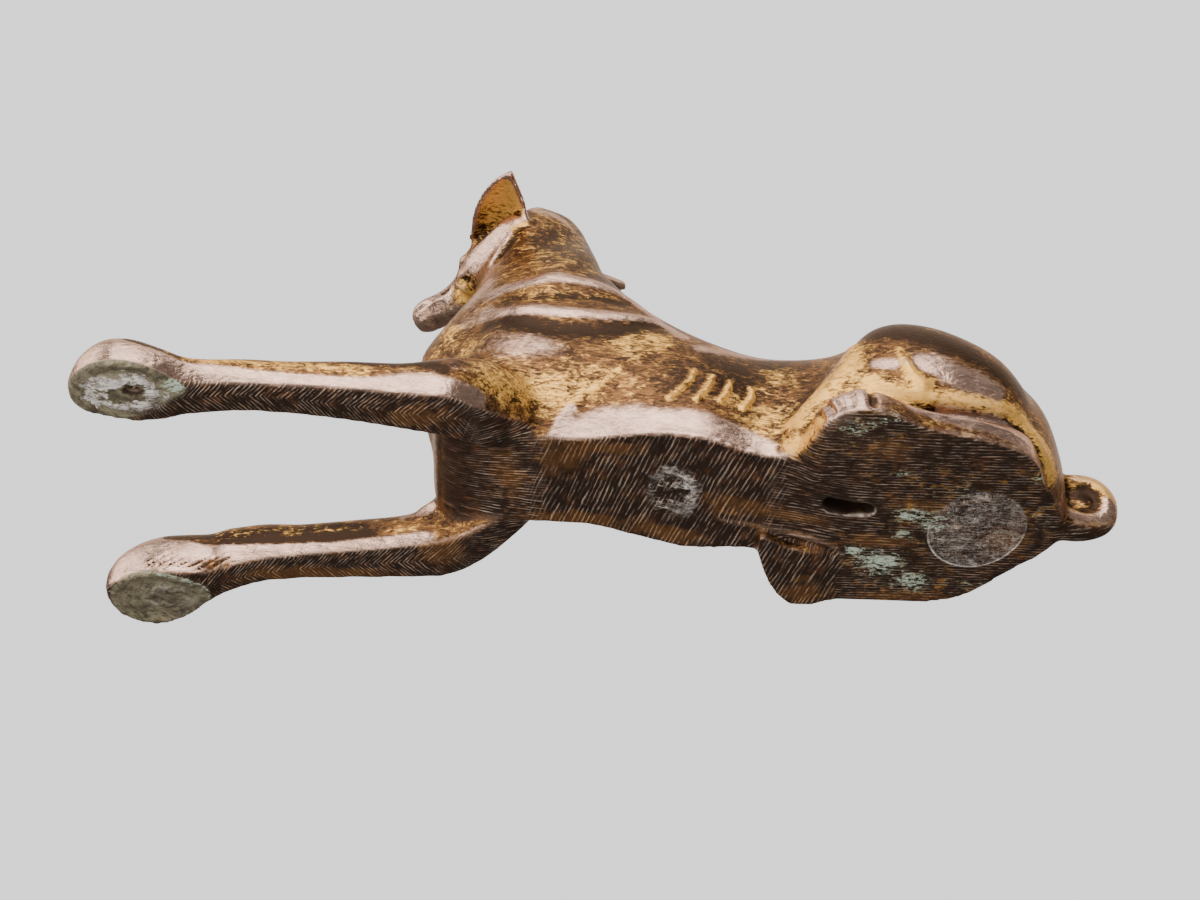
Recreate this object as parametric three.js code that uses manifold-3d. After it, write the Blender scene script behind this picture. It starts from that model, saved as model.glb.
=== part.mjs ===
// Bronze greyhound lying low on its belly, forelegs stretched forward, head raised and turned to its right.
// Millimetres. X forward, Y to the dog's left, Z up, soles and haunch underside on Z = 0.
// One hollow-cast bronze body, modelled as one closed solid with the mouth of its core vent underneath.
import * as THREE from "three";
import { mergeVertices } from "three/addons/utils/BufferGeometryUtils.js";
import Module from "manifold-3d";

const wasm = await Module();
wasm.setup();

// Driving dimensions.
const ORIGIN = [-0.5, 1.7, 0]; // moves the form so that its overall box is centred on X = 0 and Y = 0
const TOP_POINTS = 7;
const SIDE_POINTS = 4;
const FLOOR_POINTS = 3;
const SINK = 1.2; // flat soles and floors are made this much too deep, then cut level at Z = 0
const BODY_RINGS = 40;
const LEG_RINGS = 20;
const HEAD_RINGS = 18;

// Body ribs, rump to poll. Each rib is a plane through the lower or front contour point (xf, zf) and the
// upper or back contour point (xb, zb). Then: floor half-width, greatest half-width, its height along the
// rib as a share of the rib, top exponent, and sideways offset of the rib.
const BODY = [
  [-103.0, 2.0, -104.5, 12.0, 2.0, 3.5, 0.4, 2.0, -2.0],
  [-100.5, 0.0, -103.5, 24.0, 5.5, 9.0, 0.3, 2.0, -0.5],
  [-96.0, 0.0, -99.5, 35.0, 12.0, 16.0, 0.28, 2.0, 0.5],
  [-89.0, 0.0, -91.5, 44.0, 17.0, 20.0, 0.28, 2.0, 1.0],
  [-80.0, 0.0, -81.5, 51.5, 20.0, 22.0, 0.3, 2.0, 1.0],
  [-70.0, 0.0, -70.5, 55.0, 21.0, 22.5, 0.32, 2.0, 1.0],
  [-60.0, 0.0, -61.0, 53.5, 20.0, 20.5, 0.35, 2.0, 1.0],
  [-51.0, 0.5, -52.0, 48.5, 18.0, 17.5, 0.4, 2.0, 1.0],
  [-42.0, 2.5, -42.5, 46.5, 16.5, 16.5, 0.42, 2.0, 1.0],
  [-31.0, 4.2, -32.0, 47.0, 15.8, 17.0, 0.4, 2.0, 1.0],
  [-18.0, 6.2, -20.5, 51.0, 18.4, 20.0, 0.34, 2.0, 1.0],
  [-6.0, 8.0, -11.0, 58.0, 17.0, 20.5, 0.34, 2.0, 1.0],
  [6.0, 8.8, -4.0, 65.0, 14.3, 20.5, 0.36, 2.1, 1.0],
  [19.0, 9.0, 0.0, 70.5, 14.0, 21.0, 0.38, 2.2, 0.8],
  [35.5, 10.6, 2.0, 75.0, 16.0, 21.0, 0.4, 2.2, 0.6],
  [41.0, 16.0, 3.2, 79.5, 15.0, 20.0, 0.44, 2.2, 0.4],
  [42.4, 26.0, 4.0, 83.5, 10.0, 18.0, 0.48, 2.1, 0.0],
  [45.8, 39.5, 4.8, 87.5, 7.0, 15.5, 0.5, 2.0, -0.4],
  [44.0, 49.5, 6.0, 92.0, 5.0, 13.2, 0.5, 2.0, -0.8],
  [38.6, 60.0, 7.5, 96.5, 4.0, 12.4, 0.5, 2.0, -1.4],
  [34.5, 70.0, 10.5, 101.0, 3.5, 12.2, 0.52, 2.0, -2.2],
  [34.0, 79.0, 17.0, 104.5, 3.0, 11.6, 0.54, 2.0, -3.0],
];

// Head along its own axis from inside the neck to the nose: distance, floor, top, half-width, share of the
// height at which it is widest. The axis starts at HEAD_AT, turned to the right and tipped down.
const HEAD_AT = [22.0, -4.5, 90.5];
const HEAD_TURN = 37.0;
const HEAD_TIP = 5.0;
const HEAD = [
  [-6.0, -5.0, 6.0, 6.5, 0.5],
  [-2.0, -8.0, 8.6, 9.2, 0.5],
  [4.0, -9.4, 9.4, 10.2, 0.5],
  [10.0, -9.2, 9.4, 10.0, 0.5],
  [14.5, -8.0, 8.0, 8.3, 0.5],
  [18.2, -6.9, 5.2, 6.2, 0.5],
  [21.5, -5.8, 4.0, 5.2, 0.5],
  [25.5, -4.4, 3.8, 4.7, 0.5],
  [29.5, -3.2, 4.3, 4.8, 0.5],
  [32.6, -2.8, 4.0, 4.3, 0.5],
  [34.8, -1.8, 2.8, 2.8, 0.5],
];

// Ears: root, tip, and the direction the hollow of the ear faces.
const EAR_LEFT = {
  root: [28.1, 0.3, 91.5],
  tip: [26.6, 22.6, 91.6],
  face: [0.25, 0.35, -0.9],
  hand: 1,
};
const EAR_RIGHT = {
  root: [17.3, -13.1, 91.3],
  tip: [-4.8, -14.0, 91.6],
  face: [-0.3, -0.35, -0.88],
  hand: -1,
};
// Rim of the ear: share of its length, front rim and rear rim across the ear.
const EAR_RIM = [
  [-0.4, -7.0, 5.0],
  [-0.15, -8.6, 6.0],
  [0.1, -8.9, 6.2],
  [0.35, -8.5, 6.0],
  [0.6, -6.9, 4.6],
  [0.82, -4.4, 2.3],
  [0.93, -2.2, 0.9],
  [1.0, -0.4, 0.3],
];
const EAR_THICK = 2.5;
const EAR_HOLLOW = 3.4;

// Foreleg along X: x, centre y, floor z, top z, floor half-width, greatest half-width, widest share.
const FORELEG = [
  [118.0, 31.6, 1.2, 5.0, 1.5, 2.2, 0.5],
  [115.5, 32.4, 0.0, 8.8, 5.0, 5.6, 0.45],
  [111.0, 33.2, 0.0, 11.4, 7.4, 8.0, 0.42],
  [105.5, 33.1, 0.0, 11.8, 8.4, 8.8, 0.42],
  [99.5, 32.2, 0.0, 11.0, 7.2, 7.8, 0.45],
  [94.5, 31.0, 0.8, 10.6, 4.9, 6.3, 0.48],
  [90.0, 30.0, 2.0, 11.4, 4.2, 5.8, 0.5],
  [82.0, 28.8, 4.0, 13.4, 4.0, 5.4, 0.5],
  [73.0, 27.9, 4.8, 14.4, 4.2, 5.2, 0.5],
  [60.0, 26.7, 5.2, 16.0, 4.8, 5.8, 0.5],
  [48.0, 25.2, 5.2, 17.4, 5.4, 6.6, 0.48],
  [38.0, 23.6, 5.4, 21.0, 6.0, 7.6, 0.46],
  [30.0, 19.4, 6.4, 25.0, 5.6, 8.4, 0.46],
  [22.0, 14.5, 9.6, 26.0, 4.0, 7.0, 0.5],
  [14.0, 9.0, 14.0, 26.0, 2.0, 4.0, 0.5],
];
// The right foreleg is deeper, most at the paw, which is also set further out: x, extra height of its
// top, extra half-width, shift outward.
const RIGHT_DEEPER = [
  [118.0, 1.6, 0.2, 3.4],
  [111.0, 3.2, 0.8, 2.8],
  [105.5, 4.4, 1.0, 2.3],
  [99.5, 5.2, 0.8, 1.6],
  [90.0, 5.2, 0.2, 0.3],
  [82.0, 3.8, 0.0, 0.0],
  [73.0, 2.4, 0.0, 0.0],
  [48.0, 0.6, 0.0, 0.0],
  [14.0, 0.0, 0.0, 0.0],
];

// Shoulder blade mass, one a side: centre, three radii, tilt about Y.
const SHOULDER = { at: [15, 12.0, 36], r: [13.5, 9.4, 26], tilt: -34 };

// Thigh, one a side, from the rump to the knee: centre x, y, z, half-width, half-height.
const THIGH = [
  [-98.5, 8.0, 16.0, 2.0, 4.0],
  [-95.5, 10.5, 18.5, 6.5, 10.5],
  [-88.0, 14.0, 22.0, 10.5, 15.5],
  [-77.0, 16.0, 25.0, 12.2, 17.8],
  [-67.0, 16.8, 26.0, 12.6, 18.6],
  [-59.5, 17.2, 24.5, 11.2, 18.4],
  [-53.5, 17.4, 20.5, 9.4, 16.0],
  [-47.0, 17.6, 15.0, 7.4, 12.0],
  [-41.5, 17.2, 10.2, 5.6, 7.8],
  [-37.8, 15.8, 7.6, 4.0, 4.8],
  [-35.6, 14.8, 6.6, 1.6, 2.0],
];

// Hind foot along the ground: x, outer edge, inner edge, top z. The two feet differ a little.
const HINDFOOT_LEFT = [
  [-97.5, 8.0, 4.0, 4.0],
  [-95.0, 14.0, 4.0, 9.0],
  [-92.0, 21.0, 6.0, 11.0],
  [-87.0, 25.3, 8.0, 10.5],
  [-79.0, 28.4, 10.0, 9.4],
  [-71.0, 30.1, 12.0, 8.8],
  [-64.0, 32.0, 14.0, 8.4],
  [-57.5, 35.2, 15.0, 9.0],
  [-51.0, 36.6, 15.0, 10.0],
  [-46.8, 35.2, 14.0, 9.8],
  [-43.9, 32.2, 12.0, 9.4],
  [-42.3, 28.0, 11.0, 9.0],
  [-40.4, 22.2, 10.0, 8.2],
  [-38.8, 18.4, 9.0, 7.4],
  [-37.0, 15.8, 8.0, 7.0],
];
const HINDFOOT_RIGHT = [
  [-101.0, 5.0, 1.0, 4.0],
  [-97.0, 10.0, 3.0, 9.0],
  [-91.0, 17.0, 6.0, 11.0],
  [-84.0, 24.2, 8.0, 10.5],
  [-76.0, 27.2, 9.0, 9.4],
  [-68.0, 27.4, 10.0, 8.8],
  [-60.0, 27.4, 11.0, 8.4],
  [-53.0, 27.8, 11.0, 8.0],
  [-48.0, 29.8, 11.0, 7.4],
  [-43.6, 29.8, 10.0, 6.4],
  [-39.8, 26.2, 9.0, 5.4],
  [-36.4, 19.8, 7.0, 4.6],
  [-33.6, 11.5, 6.0, 4.2],
];

// The front end of the left hind foot is lifted off the floor: how far, and from which x to which.
const FOOT_LIFT = 3.4;
const FOOT_LIFT_FROM = -44.5;
const FOOT_LIFT_TO = -37.0;

// Tail: centre line and radius. It leaves the rump low and curls up and forward into a comma.
const TAIL = [
  [-96.0, -1.0, 6.0, 5.0],
  [-102.0, -2.0, 4.6, 4.2],
  [-108.0, -3.0, 4.2, 3.4],
  [-112.8, -3.0, 6.2, 3.1],
  [-114.0, -2.4, 10.8, 3.0],
  [-112.0, -1.9, 14.4, 2.9],
  [-108.4, -1.4, 15.6, 2.6],
  [-104.8, -1.2, 15.4, 2.4],
];
const TAIL_WEB = { at: [-108.2, -2.4, 10.6], r: [5.6, 2.2, 5.4] };

// Fillet of metal between the chest and each foreleg, and the cheek below the left ear: centre line, radius.
const CHEST_WEB = [
  [37.0, 12.0, 18.0, 3.0],
  [39.5, 18.0, 17.0, 2.8],
  [44.0, 20.5, 15.5, 2.4],
];
const CHEEK = [
  [21.0, 8.6, 91.0, 3.2],
  [25.4, 6.2, 89.2, 4.0],
  [29.2, 1.6, 87.4, 4.6],
  [33.2, -3.4, 85.4, 4.8],
  [36.6, -8.8, 83.6, 4.0],
];

// Core vent: an oblong recess in the underside.
const VENT = { x: -52.4, y: 4.6, length: 11.6, width: 4.2, depth: 9.0, turn: 5 };

// Helpers.
const clamp01 = (t) => Math.min(1, Math.max(0, t));

// Smooth step from 0 at low to 1 at high.
const ease = (x, low, high) => {
  const t = clamp01((x - low) / (high - low));
  return t * t * (3 - 2 * t);
};

// Smooth curve through keyed rows (first column rises or falls), cubic with finite-difference slopes.
function sample(rows, u) {
  const n = rows.length;
  const at = clamp01(u) * (n - 1);
  const i = Math.min(n - 2, Math.floor(at));
  const t = at - i;
  const p0 = rows[Math.max(0, i - 1)];
  const p1 = rows[i];
  const p2 = rows[i + 1];
  const p3 = rows[Math.min(n - 1, i + 2)];
  return p1.map((b, k) => {
    const m1 = (p2[k] - p0[k]) / 2;
    const m2 = (p3[k] - p1[k]) / 2;
    const h1 = 2 * t ** 3 - 3 * t ** 2 + 1;
    const h2 = t ** 3 - 2 * t ** 2 + t;
    const h3 = -2 * t ** 3 + 3 * t ** 2;
    const h4 = t ** 3 - t ** 2;
    return h1 * b + h2 * m1 + h3 * p2[k] + h4 * m2;
  });
}

// Closed section as [sideways, height] pairs: a flat floor, flanks that bulge out to the widest
// height, and a rounded top.
function section(floorHalf, low, wide, widest, high, exponent) {
  const right = [];
  for (let i = 0; i <= FLOOR_POINTS; i++) right.push([(floorHalf * i) / FLOOR_POINTS, low]);
  for (let i = 1; i <= SIDE_POINTS; i++) {
    const a = (Math.PI / 2) * (i / SIDE_POINTS);
    right.push([floorHalf + (wide - floorHalf) * Math.sin(a), low + ((widest - low) * i) / SIDE_POINTS]);
  }
  for (let i = 1; i <= TOP_POINTS; i++) {
    const a = (Math.PI / 2) * (i / TOP_POINTS);
    const s = wide * Math.abs(Math.cos(a)) ** (2 / exponent);
    right.push([i === TOP_POINTS ? 0 : s, widest + (high - widest) * Math.sin(a) ** (2 / exponent)]);
  }
  const left = right.slice(1, -1).map(([s, h]) => [-s, h]).reverse();
  return right.concat(left);
}

// A round or oval section.
function oval(a, b, points) {
  return Array.from({ length: points }, (_, i) => {
    const t = (2 * Math.PI * i) / points;
    return [a * Math.sin(t), -b * Math.cos(t)];
  });
}

// Closed solid through rings of equal point count, each end closed by a fan to its middle, or, for a thin
// shell, by a strip between the two sides of the ring.
function loft(rings, shell = false) {
  const n = rings[0].length;
  const points = rings.flat();
  const faces = [];
  rings.slice(1).forEach((_, r) => {
    for (let i = 0; i < n; i++) {
      const a = r * n + i;
      const b = r * n + ((i + 1) % n);
      faces.push(a, b, b + n, a, b + n, a + n);
    }
  });
  const last = (rings.length - 1) * n;
  for (let i = 0; shell && i < n / 2 - 1; i++) {
    const j = n - 1 - i;
    faces.push(i, j, i + 1, i + 1, j, j - 1);
    faces.push(last + i, last + i + 1, last + j, last + i + 1, last + j - 1, last + j);
  }
  const middle = (ring) => [0, 1, 2].map((k) => ring.reduce((s, p) => s + p[k], 0) / n);
  const first = points.length;
  if (!shell) points.push(middle(rings[0]), middle(rings[rings.length - 1]));
  for (let i = 0; !shell && i < n; i++) {
    const j = (i + 1) % n;
    faces.push(first, j, i);
    faces.push(first + 1, last + i, last + j);
  }
  const g = new THREE.BufferGeometry();
  g.setAttribute("position", new THREE.BufferAttribute(new Float32Array(points.flat()), 3));
  g.setIndex(faces);
  return solid(g);
}

// A manifold solid from a closed geometry, turned outward if its faces point inward.
function solid(geometry) {
  const g = geometry.clone();
  g.deleteAttribute("normal");
  g.deleteAttribute("uv");
  const m = mergeVertices(g, 1e-4);
  const vertProperties = new Float32Array(m.attributes.position.array);
  const build = (triVerts) =>
    new wasm.Manifold(new wasm.Mesh({ numProp: 3, vertProperties, triVerts }));
  const triVerts = new Uint32Array(m.index.array);
  const made = build(triVerts);
  if (made.volume() > 0) return made;
  for (let i = 0; i < triVerts.length; i += 3) {
    const keep = triVerts[i + 1];
    triVerts[i + 1] = triVerts[i + 2];
    triVerts[i + 2] = keep;
  }
  return build(triVerts);
}

const unit = (v) => {
  const l = Math.hypot(...v);
  return v.map((c) => c / l);
};
const cross = (a, b) => [
  a[1] * b[2] - a[2] * b[1],
  a[2] * b[0] - a[0] * b[2],
  a[0] * b[1] - a[1] * b[0],
];
const along = (o, ...terms) => o.map((c, k) => terms.reduce((s, [v, t]) => s + v[k] * t, c));

// Pieces of the form.
function body() {
  const rings = [];
  for (let r = 0; r < BODY_RINGS; r++) {
    const [xf, zf, xb, zb, floorHalf, wide, share, exponent, offset] = sample(BODY, r / (BODY_RINGS - 1));
    const length = Math.hypot(xb - xf, zb - zf);
    const up = [(xb - xf) / length, (zb - zf) / length];
    const shape = section(Math.min(floorHalf, wide * 1.05), 0, wide, length * share, length, exponent);
    const sink = zf < 0.3 ? SINK : 0;
    rings.push(shape.map(([s, h]) => [xf + up[0] * h, offset + s, zf + up[1] * h - (h < 0.01 ? sink : 0)]));
  }
  return loft(rings);
}

function head() {
  const turn = THREE.MathUtils.degToRad(HEAD_TURN);
  const tip = THREE.MathUtils.degToRad(HEAD_TIP);
  const forward = [Math.cos(tip) * Math.cos(turn), -Math.cos(tip) * Math.sin(turn), -Math.sin(tip)];
  const side = [Math.sin(turn), Math.cos(turn), 0];
  const up = cross(forward, side);
  const rings = [];
  for (let r = 0; r < HEAD_RINGS; r++) {
    const [d, low, high, wide, share] = sample(HEAD, r / (HEAD_RINGS - 1));
    const shape = section(wide * 0.45, low, wide, low + (high - low) * share, high, 2.2);
    rings.push(shape.map(([s, h]) => along(HEAD_AT, [forward, d], [side, s], [up, h])));
  }
  return loft(rings);
}

// A leaf-shaped shell, cupped across its width: the hollow skin and the outer skin meet at the rim.
function ear({ root, tip, face, hand }) {
  const axis = tip.map((c, k) => c - root[k]);
  const length = Math.hypot(...axis);
  const f = unit(axis);
  const side = unit(cross(f, face)).map((c) => c * hand);
  const out = unit(cross(side, f)).map((c) => c * hand);
  const rings = [];
  const across = [-1, -0.7, -0.35, 0, 0.35, 0.7, 1];
  for (let r = 0; r < 12; r++) {
    const [u, front, rear] = sample(EAR_RIM, r / 11);
    const half = (rear - front) / 2;
    const mid = (rear + front) / 2;
    const deep = EAR_HOLLOW * (half / 7);
    const place = (v, lift) =>
      along(root, [f, length * u], [side, mid + half * v], [out, lift - deep * (1 - v * v)]);
    const thick = (v) => EAR_THICK * (0.55 + 0.45 * Math.cos((v * Math.PI) / 2));
    const inner = across.map((v) => place(v, 0));
    const outer = across.map((v) => place(v, -thick(v))).reverse();
    rings.push(inner.concat(outer));
  }
  return loft(rings, true);
}

// Value of the keyed rows at x, straight between keys.
function keyed(rows, x, column) {
  const i = Math.max(1, rows.findIndex((row) => row[0] <= x));
  const [a, b] = [rows[i - 1], rows[i]];
  return a[column] + ((b[column] - a[column]) * (x - a[0])) / (b[0] - a[0]);
}

function foreleg(hand) {
  const rings = [];
  for (let r = 0; r < LEG_RINGS; r++) {
    const [x, y, low, high, floorHalf, wide, share] = sample(FORELEG, r / (LEG_RINGS - 1));
    const rise = hand < 0 ? keyed(RIGHT_DEEPER, x, 1) : 0;
    const more = hand < 0 ? keyed(RIGHT_DEEPER, x, 2) : 0;
    const out = hand < 0 ? keyed(RIGHT_DEEPER, x, 3) : 0;
    const floor = low < 0.3 ? -SINK : low;
    const top = high + rise;
    const shape = section(floorHalf + more, floor, wide + more, low + (top - low) * share, top, 2.1);
    rings.push(shape.map(([s, h]) => [x, hand * (y + out + s), h]));
  }
  return loft(rings);
}

function thigh(hand) {
  const rings = [];
  for (let r = 0; r < 20; r++) {
    const [x, y, z, a, b] = sample(THIGH, r / 19);
    rings.push(oval(a, b, 20).map(([s, h]) => [x, hand * (y + s), z + h]));
  }
  return loft(rings);
}

function hindfoot(hand) {
  const rows = hand > 0 ? HINDFOOT_LEFT : HINDFOOT_RIGHT;
  const rings = [];
  for (let r = 0; r < 22; r++) {
    const [x, outer, inner, high] = sample(rows, r / 21);
    const half = (outer - inner) / 2;
    const lift = hand > 0 ? FOOT_LIFT * ease(x, FOOT_LIFT_FROM, FOOT_LIFT_TO) : 0;
    const floor = lift < 0.3 ? -SINK : lift;
    const shape = section(half * 0.97, floor, half, lift + (high - lift) * 0.4, high, 2.6);
    rings.push(shape.map(([s, h]) => [x, hand * ((outer + inner) / 2 + s), h]));
  }
  return loft(rings);
}

// A round rod along a centre line; up is any direction the line never takes.
function rod(rows, count, up, hand = 1) {
  const rings = [];
  const at = (u) => {
    const [x, y, z, radius] = sample(rows, u);
    return [x, hand * y, z, radius];
  };
  for (let r = 0; r < count; r++) {
    const u = r / (count - 1);
    const [x, y, z, radius] = at(u);
    const before = at(Math.max(0, u - 0.02));
    const after = at(Math.min(1, u + 0.02));
    const f = unit([0, 1, 2].map((k) => after[k] - before[k]));
    const side = unit(cross(f, up));
    const out = cross(side, f);
    rings.push(oval(radius, radius, 12).map(([s, h]) => along([x, y, z], [side, s], [out, h])));
  }
  return loft(rings);
}

function ellipsoid({ at, r, tilt = 0 }, hand = 1) {
  const g = new THREE.SphereGeometry(1, 18, 12);
  g.scale(...r);
  g.rotateY(THREE.MathUtils.degToRad(tilt));
  g.translate(at[0], hand * at[1], at[2]);
  return solid(g);
}

function block(x0, x1, y0, y1, z0, z1) {
  const g = new THREE.BoxGeometry(x1 - x0, y1 - y0, z1 - z0);
  g.translate((x0 + x1) / 2, (y0 + y1) / 2, (z0 + z1) / 2);
  return solid(g);
}

function vent() {
  const half = VENT.length / 2 - VENT.width / 2;
  const shape = new THREE.Shape();
  shape.absarc(half, 0, VENT.width / 2, -Math.PI / 2, Math.PI / 2, false);
  shape.absarc(-half, 0, VENT.width / 2, Math.PI / 2, (3 * Math.PI) / 2, false);
  shape.closePath();
  const depth = VENT.depth + 1;
  const g = new THREE.ExtrudeGeometry(shape, { depth, bevelEnabled: false, curveSegments: 8 });
  g.rotateZ(THREE.MathUtils.degToRad(VENT.turn));
  g.translate(VENT.x, VENT.y, -1);
  return solid(g);
}

// Joining.
let dog = body().add(head());
dog = dog.add(ear(EAR_LEFT)).add(ear(EAR_RIGHT));
for (const hand of [1, -1]) {
  dog = dog.add(foreleg(hand)).add(thigh(hand)).add(hindfoot(hand)).add(ellipsoid(SHOULDER, hand));
  dog = dog.add(rod(CHEST_WEB, 6, [0, 0, 1], hand));
}
dog = dog.add(rod(CHEEK, 7, [0, 0, 1]));
dog = dog.add(rod(TAIL, 20, [0, 1, 0])).add(ellipsoid(TAIL_WEB));
dog = dog.subtract(block(-200, 200, -100, 100, -50, 0)).subtract(vent());

function meshOf(name, made, material) {
  const m = made.getMesh();
  const points = new Float32Array(m.numVert * 3);
  for (let i = 0; i < m.numVert; i++) {
    points.set(m.vertProperties.subarray(i * m.numProp, i * m.numProp + 3), i * 3);
  }
  const g = new THREE.BufferGeometry();
  g.setAttribute("position", new THREE.BufferAttribute(points, 3));
  g.setIndex(new THREE.BufferAttribute(m.triVerts, 1));
  g.computeVertexNormals();
  const mesh = new THREE.Mesh(g, material);
  mesh.name = name;
  mesh.position.set(...ORIGIN);
  return mesh;
}

const bronze = new THREE.MeshStandardMaterial({ color: 0x5a3f24, roughness: 0.38, metalness: 0.9 });
const group = new THREE.Group();
group.name = "greyhound_statuette";
group.add(meshOf("greyhound", dog, bronze));

export default group;
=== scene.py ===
"""Bronze greyhound statuette: a lying hound with stretched forelegs, cast hollow and patinated brown.

The skin is built as closed lofts in millimetres, joined by a voxel remesh, smoothed, given its chased
relief, and dressed in one procedural bronze. X runs forward, Y to the dog's left, Z up.
"""

import math

import bpy
import numpy as np
from mathutils import Matrix, Vector


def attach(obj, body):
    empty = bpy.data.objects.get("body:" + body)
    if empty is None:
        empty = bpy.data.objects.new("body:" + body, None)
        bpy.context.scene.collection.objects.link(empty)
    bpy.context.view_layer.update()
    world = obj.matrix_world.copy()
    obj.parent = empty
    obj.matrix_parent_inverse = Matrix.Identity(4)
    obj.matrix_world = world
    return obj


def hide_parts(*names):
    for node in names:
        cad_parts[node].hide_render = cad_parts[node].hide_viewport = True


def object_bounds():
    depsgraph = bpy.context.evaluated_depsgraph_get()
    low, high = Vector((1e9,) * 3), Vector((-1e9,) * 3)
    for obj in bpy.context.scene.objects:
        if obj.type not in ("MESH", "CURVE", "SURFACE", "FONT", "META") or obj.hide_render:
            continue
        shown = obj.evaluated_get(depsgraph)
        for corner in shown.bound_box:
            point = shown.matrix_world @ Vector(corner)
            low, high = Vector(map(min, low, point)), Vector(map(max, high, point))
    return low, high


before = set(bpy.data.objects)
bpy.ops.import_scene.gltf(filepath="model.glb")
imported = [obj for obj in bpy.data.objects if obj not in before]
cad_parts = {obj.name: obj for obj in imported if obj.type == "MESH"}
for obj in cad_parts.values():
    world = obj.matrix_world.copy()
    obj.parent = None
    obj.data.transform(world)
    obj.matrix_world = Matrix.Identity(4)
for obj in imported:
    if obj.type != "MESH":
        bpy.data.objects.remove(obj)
CAD_LOW, CAD_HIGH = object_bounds()

bl_info = {
    "name": "Bronze Greyhound Statuette",
    "version": (1, 0, 0),
    "blender": (4, 5, 0),
    "location": "3D View > Sidebar > Greyhound",
    "description": "Casts a lying bronze greyhound with a worn brown patina",
    "category": "Add Mesh",
}

MM = 0.001
ORIGIN = np.array([-0.5, 1.7, 0])  # centres the overall box, as in the solid

# Body ribs, rump to poll: front point x, z; back point x, z; floor half-width, greatest half-width,
# its share of the rib's height, top exponent, sideways offset.
BODY = [
    (-103, 2, -104.5, 12, 2, 3.5, 0.4, 2, -2),
    (-100.5, 0, -103.5, 24, 5.5, 9, 0.3, 2, -0.5),
    (-96, 0, -99.5, 35, 12, 16, 0.28, 2, 0.5),
    (-89, 0, -91.5, 44, 17, 20, 0.28, 2, 1),
    (-80, 0, -81.5, 51.5, 20, 22, 0.3, 2, 1),
    (-70, 0, -70.5, 55, 21, 22.5, 0.32, 2, 1),
    (-60, 0, -61, 53.5, 20, 20.5, 0.35, 2, 1),
    (-51, 0.5, -52, 48.5, 18, 17.5, 0.4, 2, 1),
    (-42, 2.5, -42.5, 46.5, 16.5, 16.5, 0.42, 2, 1),
    (-31, 4.2, -32, 47, 15.8, 17, 0.4, 2, 1),
    (-18, 6.2, -20.5, 51, 18.4, 20, 0.34, 2, 1),
    (-6, 8, -11, 58, 17, 20.5, 0.34, 2, 1),
    (6, 8.8, -4, 65, 14.3, 20.5, 0.36, 2.1, 1),
    (19, 9, 0, 70.5, 14, 21, 0.38, 2.2, 0.8),
    (35.5, 10.6, 2, 75, 16, 21, 0.4, 2.2, 0.6),
    (41, 16, 3.2, 79.5, 15, 20, 0.44, 2.2, 0.4),
    (42.4, 26, 4, 83.5, 10, 18, 0.48, 2.1, 0),
    (45.8, 39.5, 4.8, 87.5, 7, 15.5, 0.5, 2, -0.4),
    (44, 49.5, 6, 92, 5, 13.2, 0.5, 2, -0.8),
    (38.6, 60, 7.5, 96.5, 4, 12.4, 0.5, 2, -1.4),
    (34.5, 70, 10.5, 101, 3.5, 12.2, 0.52, 2, -2.2),
    (34, 79, 17, 104.5, 3, 11.6, 0.54, 2, -3),
]

# Head along its own axis: distance, floor, top, half-width, widest share.
HEAD_AT = np.array([22, -4.5, 90.5])
HEAD_TURN = math.radians(37)
HEAD_TIP = math.radians(5)
HEAD = [
    (-6, -5, 6, 6.5, 0.5),
    (-2, -8, 8.6, 9.2, 0.5),
    (4, -9.4, 9.4, 10.2, 0.5),
    (10, -9.2, 9.4, 10, 0.5),
    (14.5, -8, 8, 8.3, 0.5),
    (18.2, -6.9, 5.2, 6.2, 0.5),
    (21.5, -5.8, 4, 5.2, 0.5),
    (25.5, -4.4, 3.8, 4.7, 0.5),
    (29.5, -3.2, 4.3, 4.8, 0.5),
    (32.6, -2.8, 4, 4.3, 0.5),
    (34.8, -1.8, 2.8, 2.8, 0.5),
]
HEAD_FORWARD = np.array(
    [math.cos(HEAD_TIP) * math.cos(HEAD_TURN), -math.cos(HEAD_TIP) * math.sin(HEAD_TURN), -math.sin(HEAD_TIP)]
)
HEAD_SIDE = np.array([math.sin(HEAD_TURN), math.cos(HEAD_TURN), 0])
HEAD_UP = np.cross(HEAD_FORWARD, HEAD_SIDE)

# Ears: root, tip, the way the hollow faces, hand. Then the rim: share of length, front rim, rear rim.
EARS = [
    ((28.1, 0.3, 91.5), (26.6, 22.6, 91.6), (0.25, 0.35, -0.9), 1),
    ((17.3, -13.1, 91.3), (-4.8, -14, 91.6), (-0.3, -0.35, -0.88), -1),
]
EAR_RIM = [
    (-0.4, -7, 5),
    (-0.15, -8.6, 6),
    (0.1, -8.9, 6.2),
    (0.35, -8.5, 6),
    (0.6, -6.9, 4.6),
    (0.82, -4.4, 2.3),
    (0.93, -2.2, 0.9),
    (1, -0.4, 0.3),
]
EAR_THICK = 2.5
EAR_HOLLOW = 3.4

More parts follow.
